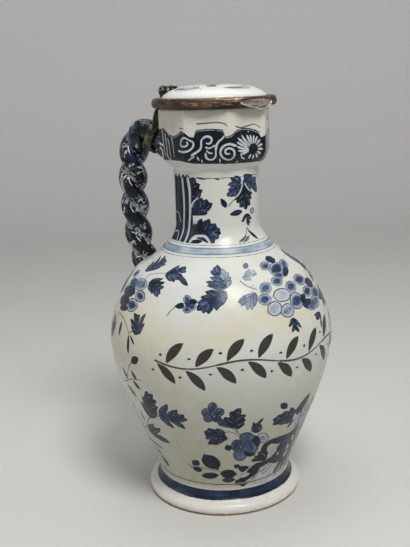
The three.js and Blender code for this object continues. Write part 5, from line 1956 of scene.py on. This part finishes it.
# %% Painted jug
LAPPET_LINE = 0.85
jug_finish, jug_surface = painted_glaze("tin glaze, painted", JUG_BANDS, ["ground"])
height, wear = jug_finish.height(), jug_finish.noise(5, detail=4, roughness=0.65)
lappet_edge = abs(jug_finish.attribute("ground") - LAPPET_LINE).ramp(0.16, 0.34, 1.0, 0.0)
lappet_edge = lappet_edge * height.ramp(229, 233) * jug_finish.noise(9).ramp(0.44, 0.5)
worn = (height + wear * 4).ramp(3.4, 4.4, 1.0, 0.0) * wear.ramp(0.35, 0.5)
wiped = (height + wear * 1.2).ramp(0.9, 1.3, 1.0, 0.0)
jug_surface = layered(jug_finish, jug_surface, (lappet_edge * 0.75, colour(164, 182, 198)),
                      (worn * 0.85, colour(196, 152, 118)), (wiped, colour(176, 134, 104)))
glossy(jug_finish, jug_surface)
dress(jug_skin, jug_finish)
print("jug glaze nodes:", len(jug_finish.tree.nodes))

# %% [markdown]
# The rope is marbled: the painter covered it in navy and left or wiped squiggles of white. Bending a
# cloudy noise gives such veins where it passes its middle value. The root is painted the same way.

# %% Marbled rope
rope = Finish("navy marbling")
swirl = {"Vector": rope.place, "Scale": 1 / (13 * MM), "Detail": 2.0, "Distortion": 1.8}
bent = rope.node("ShaderNodeTexNoise", {}, swirl, "Fac")
vein = abs(bent - 0.5).ramp(0.014, 0.04, 1.0, 0.0) * rope.noise(8).ramp(0.49, 0.56)
crest = rope.attribute("crest")
broken = rope.noise(2.8, detail=4, roughness=0.6) - crest * 0.22
left_in_groove = broken.ramp(0.49, 0.52) * crest.ramp(0.3, 0.85, 1.0, 0.0)
blotch = rope.noise(5, detail=3, roughness=0.6).ramp(0.6, 0.65) * rope.noise(2, detail=3).ramp(0.36, 0.5)
white_share = vein.math("MAXIMUM", blotch).math("MAXIMUM", left_in_groove * 0.9)
# patches of lighter blue in the navy, and more of them towards the top, where the rise is painted light on
# the upper bend
blue_patches_and_top_light = rope.noise(9).ramp(0.42, 0.66) * rope.height().ramp(185, 235, 0.45, 1.0)
navy = rope.mix(blue_patches_and_top_light, colour(7, 9, 15), colour(34, 50, 86))
white_share = white_share * rope.height().ramp(216, 238, 0.95, 0.4)
glossy(rope, rope.mix(white_share, navy, colour(204, 211, 215)), 0.05, 0.12, 0.36)
for piece in (*strands, handle_root):
    dress(piece, rope)
print("rope nodes:", len(rope.tree.nodes))

# %% [markdown]
# ## Metals
#
# Old copper is dark in its hollows and reddish where hands rub it. Brass goes dull and olive. Each
# metal mixes a tarnish and a rubbed colour by a cloudy noise, and the rubbed places shine more. One
# plain colour for each metal would look like plastic.

# %% Tarnished metals
TOP_HIGHLIGHT_HEIGHT = 268.0


def old_metal(name, tarnish, rubbed, patch, rough, shine, relief=0.12, stretch=None, glint=None):
    """A tarnished metal whose patches are about patch millimetres across. A glint colour adds painted
    glints, and a painted highlight on tops above a height.
    """
    finish = Finish(name)
    cloud = finish.noise(patch, detail=5, roughness=0.62, stretch=stretch)
    share = cloud.ramp(0.4, 0.62)
    fine = finish.noise(0.9, detail=4, roughness=0.6)
    surface = layered(finish, tarnish, (share, rubbed), (fine.ramp(0.55, 0.8) * 0.4, tarnish))
    # painted glints: a light colour in scattered streaks where light catches the metal, and a painted
    # highlight on the tops of the thumbpiece's lobes
    if glint:
        painted_glints = finish.noise(patch * 0.45, detail=5, roughness=0.7, stretch=stretch).ramp(0.54, 0.66)
        painted_top_highlight = finish.height().ramp(TOP_HIGHLIGHT_HEIGHT, TOP_HIGHLIGHT_HEIGHT + 1.1)
        surface = layered(finish, surface, (painted_glints * 0.75, glint), (painted_top_highlight * 0.8, glint))
    finish.set(base_color=surface, roughness=share * (shine - rough) + rough + fine * 0.1,
               metallic=share.ramp(0, 1, 0.55, 0.9))
    finish.bump(fine * 0.5 + cloud * 0.5, relief)
    return finish


copper = old_metal("old copper", colour(50, 45, 35), colour(102, 80, 66), 9, 0.5, 0.34, 0.2,
                   (0.6, 0.6, 2.2), colour(184, 164, 146))
solder = old_metal("soft solder", colour(126, 106, 96), colour(208, 190, 180), 4, 0.4, 0.24,
                   stretch=(0.5, 0.5, 2.4))
# the seam is solder, made much paler than the tongue's as a painted highlight along the lap's lower edge
seam_solder_and_highlight = old_metal("seam solder with painted highlight", colour(196, 184, 172), colour(240, 234, 228), 3, 0.34, 0.2)
brass = old_metal("dull brass", colour(66, 60, 44), colour(112, 104, 80), 6, 0.6, 0.42)
bronze = old_metal("dark bronze", colour(18, 16, 16), colour(52, 46, 43), 5, 0.36, 0.22,
                   glint=colour(198, 194, 188))
for piece, finish in ((handle_band, brass), (strap, brass), (lid_rim, copper), (thumb, bronze)):
    dress(piece, finish)
dress(rim_lap, solder)
rim_lap.data.materials.append(seam_solder_and_highlight.material)
rim_lap.data.polygons.foreach_set("material_index", lap_metals.astype(np.int32))
print("metals:", [finish.material.name for finish in (copper, solder, seam_solder_and_highlight, brass, bronze)])

# %% [markdown]
# Three pieces keep the shape of the packed model: the hinge's pin, its leaf, and the putty that the
# dome is bedded in. Little of them shows, so they only get new materials.

# %% Pin, leaf and putty
putty = Finish("bedding putty")
grit = putty.noise(0.8, detail=4)
putty.set(base_color=putty.mix(grit, colour(150, 138, 116), colour(196, 186, 166)), roughness=0.92)
putty.bump(grit, 0.1)
for node, finish in (("hinge_pin", bronze), ("hinge_leaf", copper), ("lid_bedding", putty)):
    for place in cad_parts[node].material_slots:
        place.material = finish.material
print("putty nodes:", len(putty.tree.nodes))

# %% [markdown]
# ## Last step
#
# The last cell brings the scene up to date.

# %% Update
bpy.context.view_layer.update()
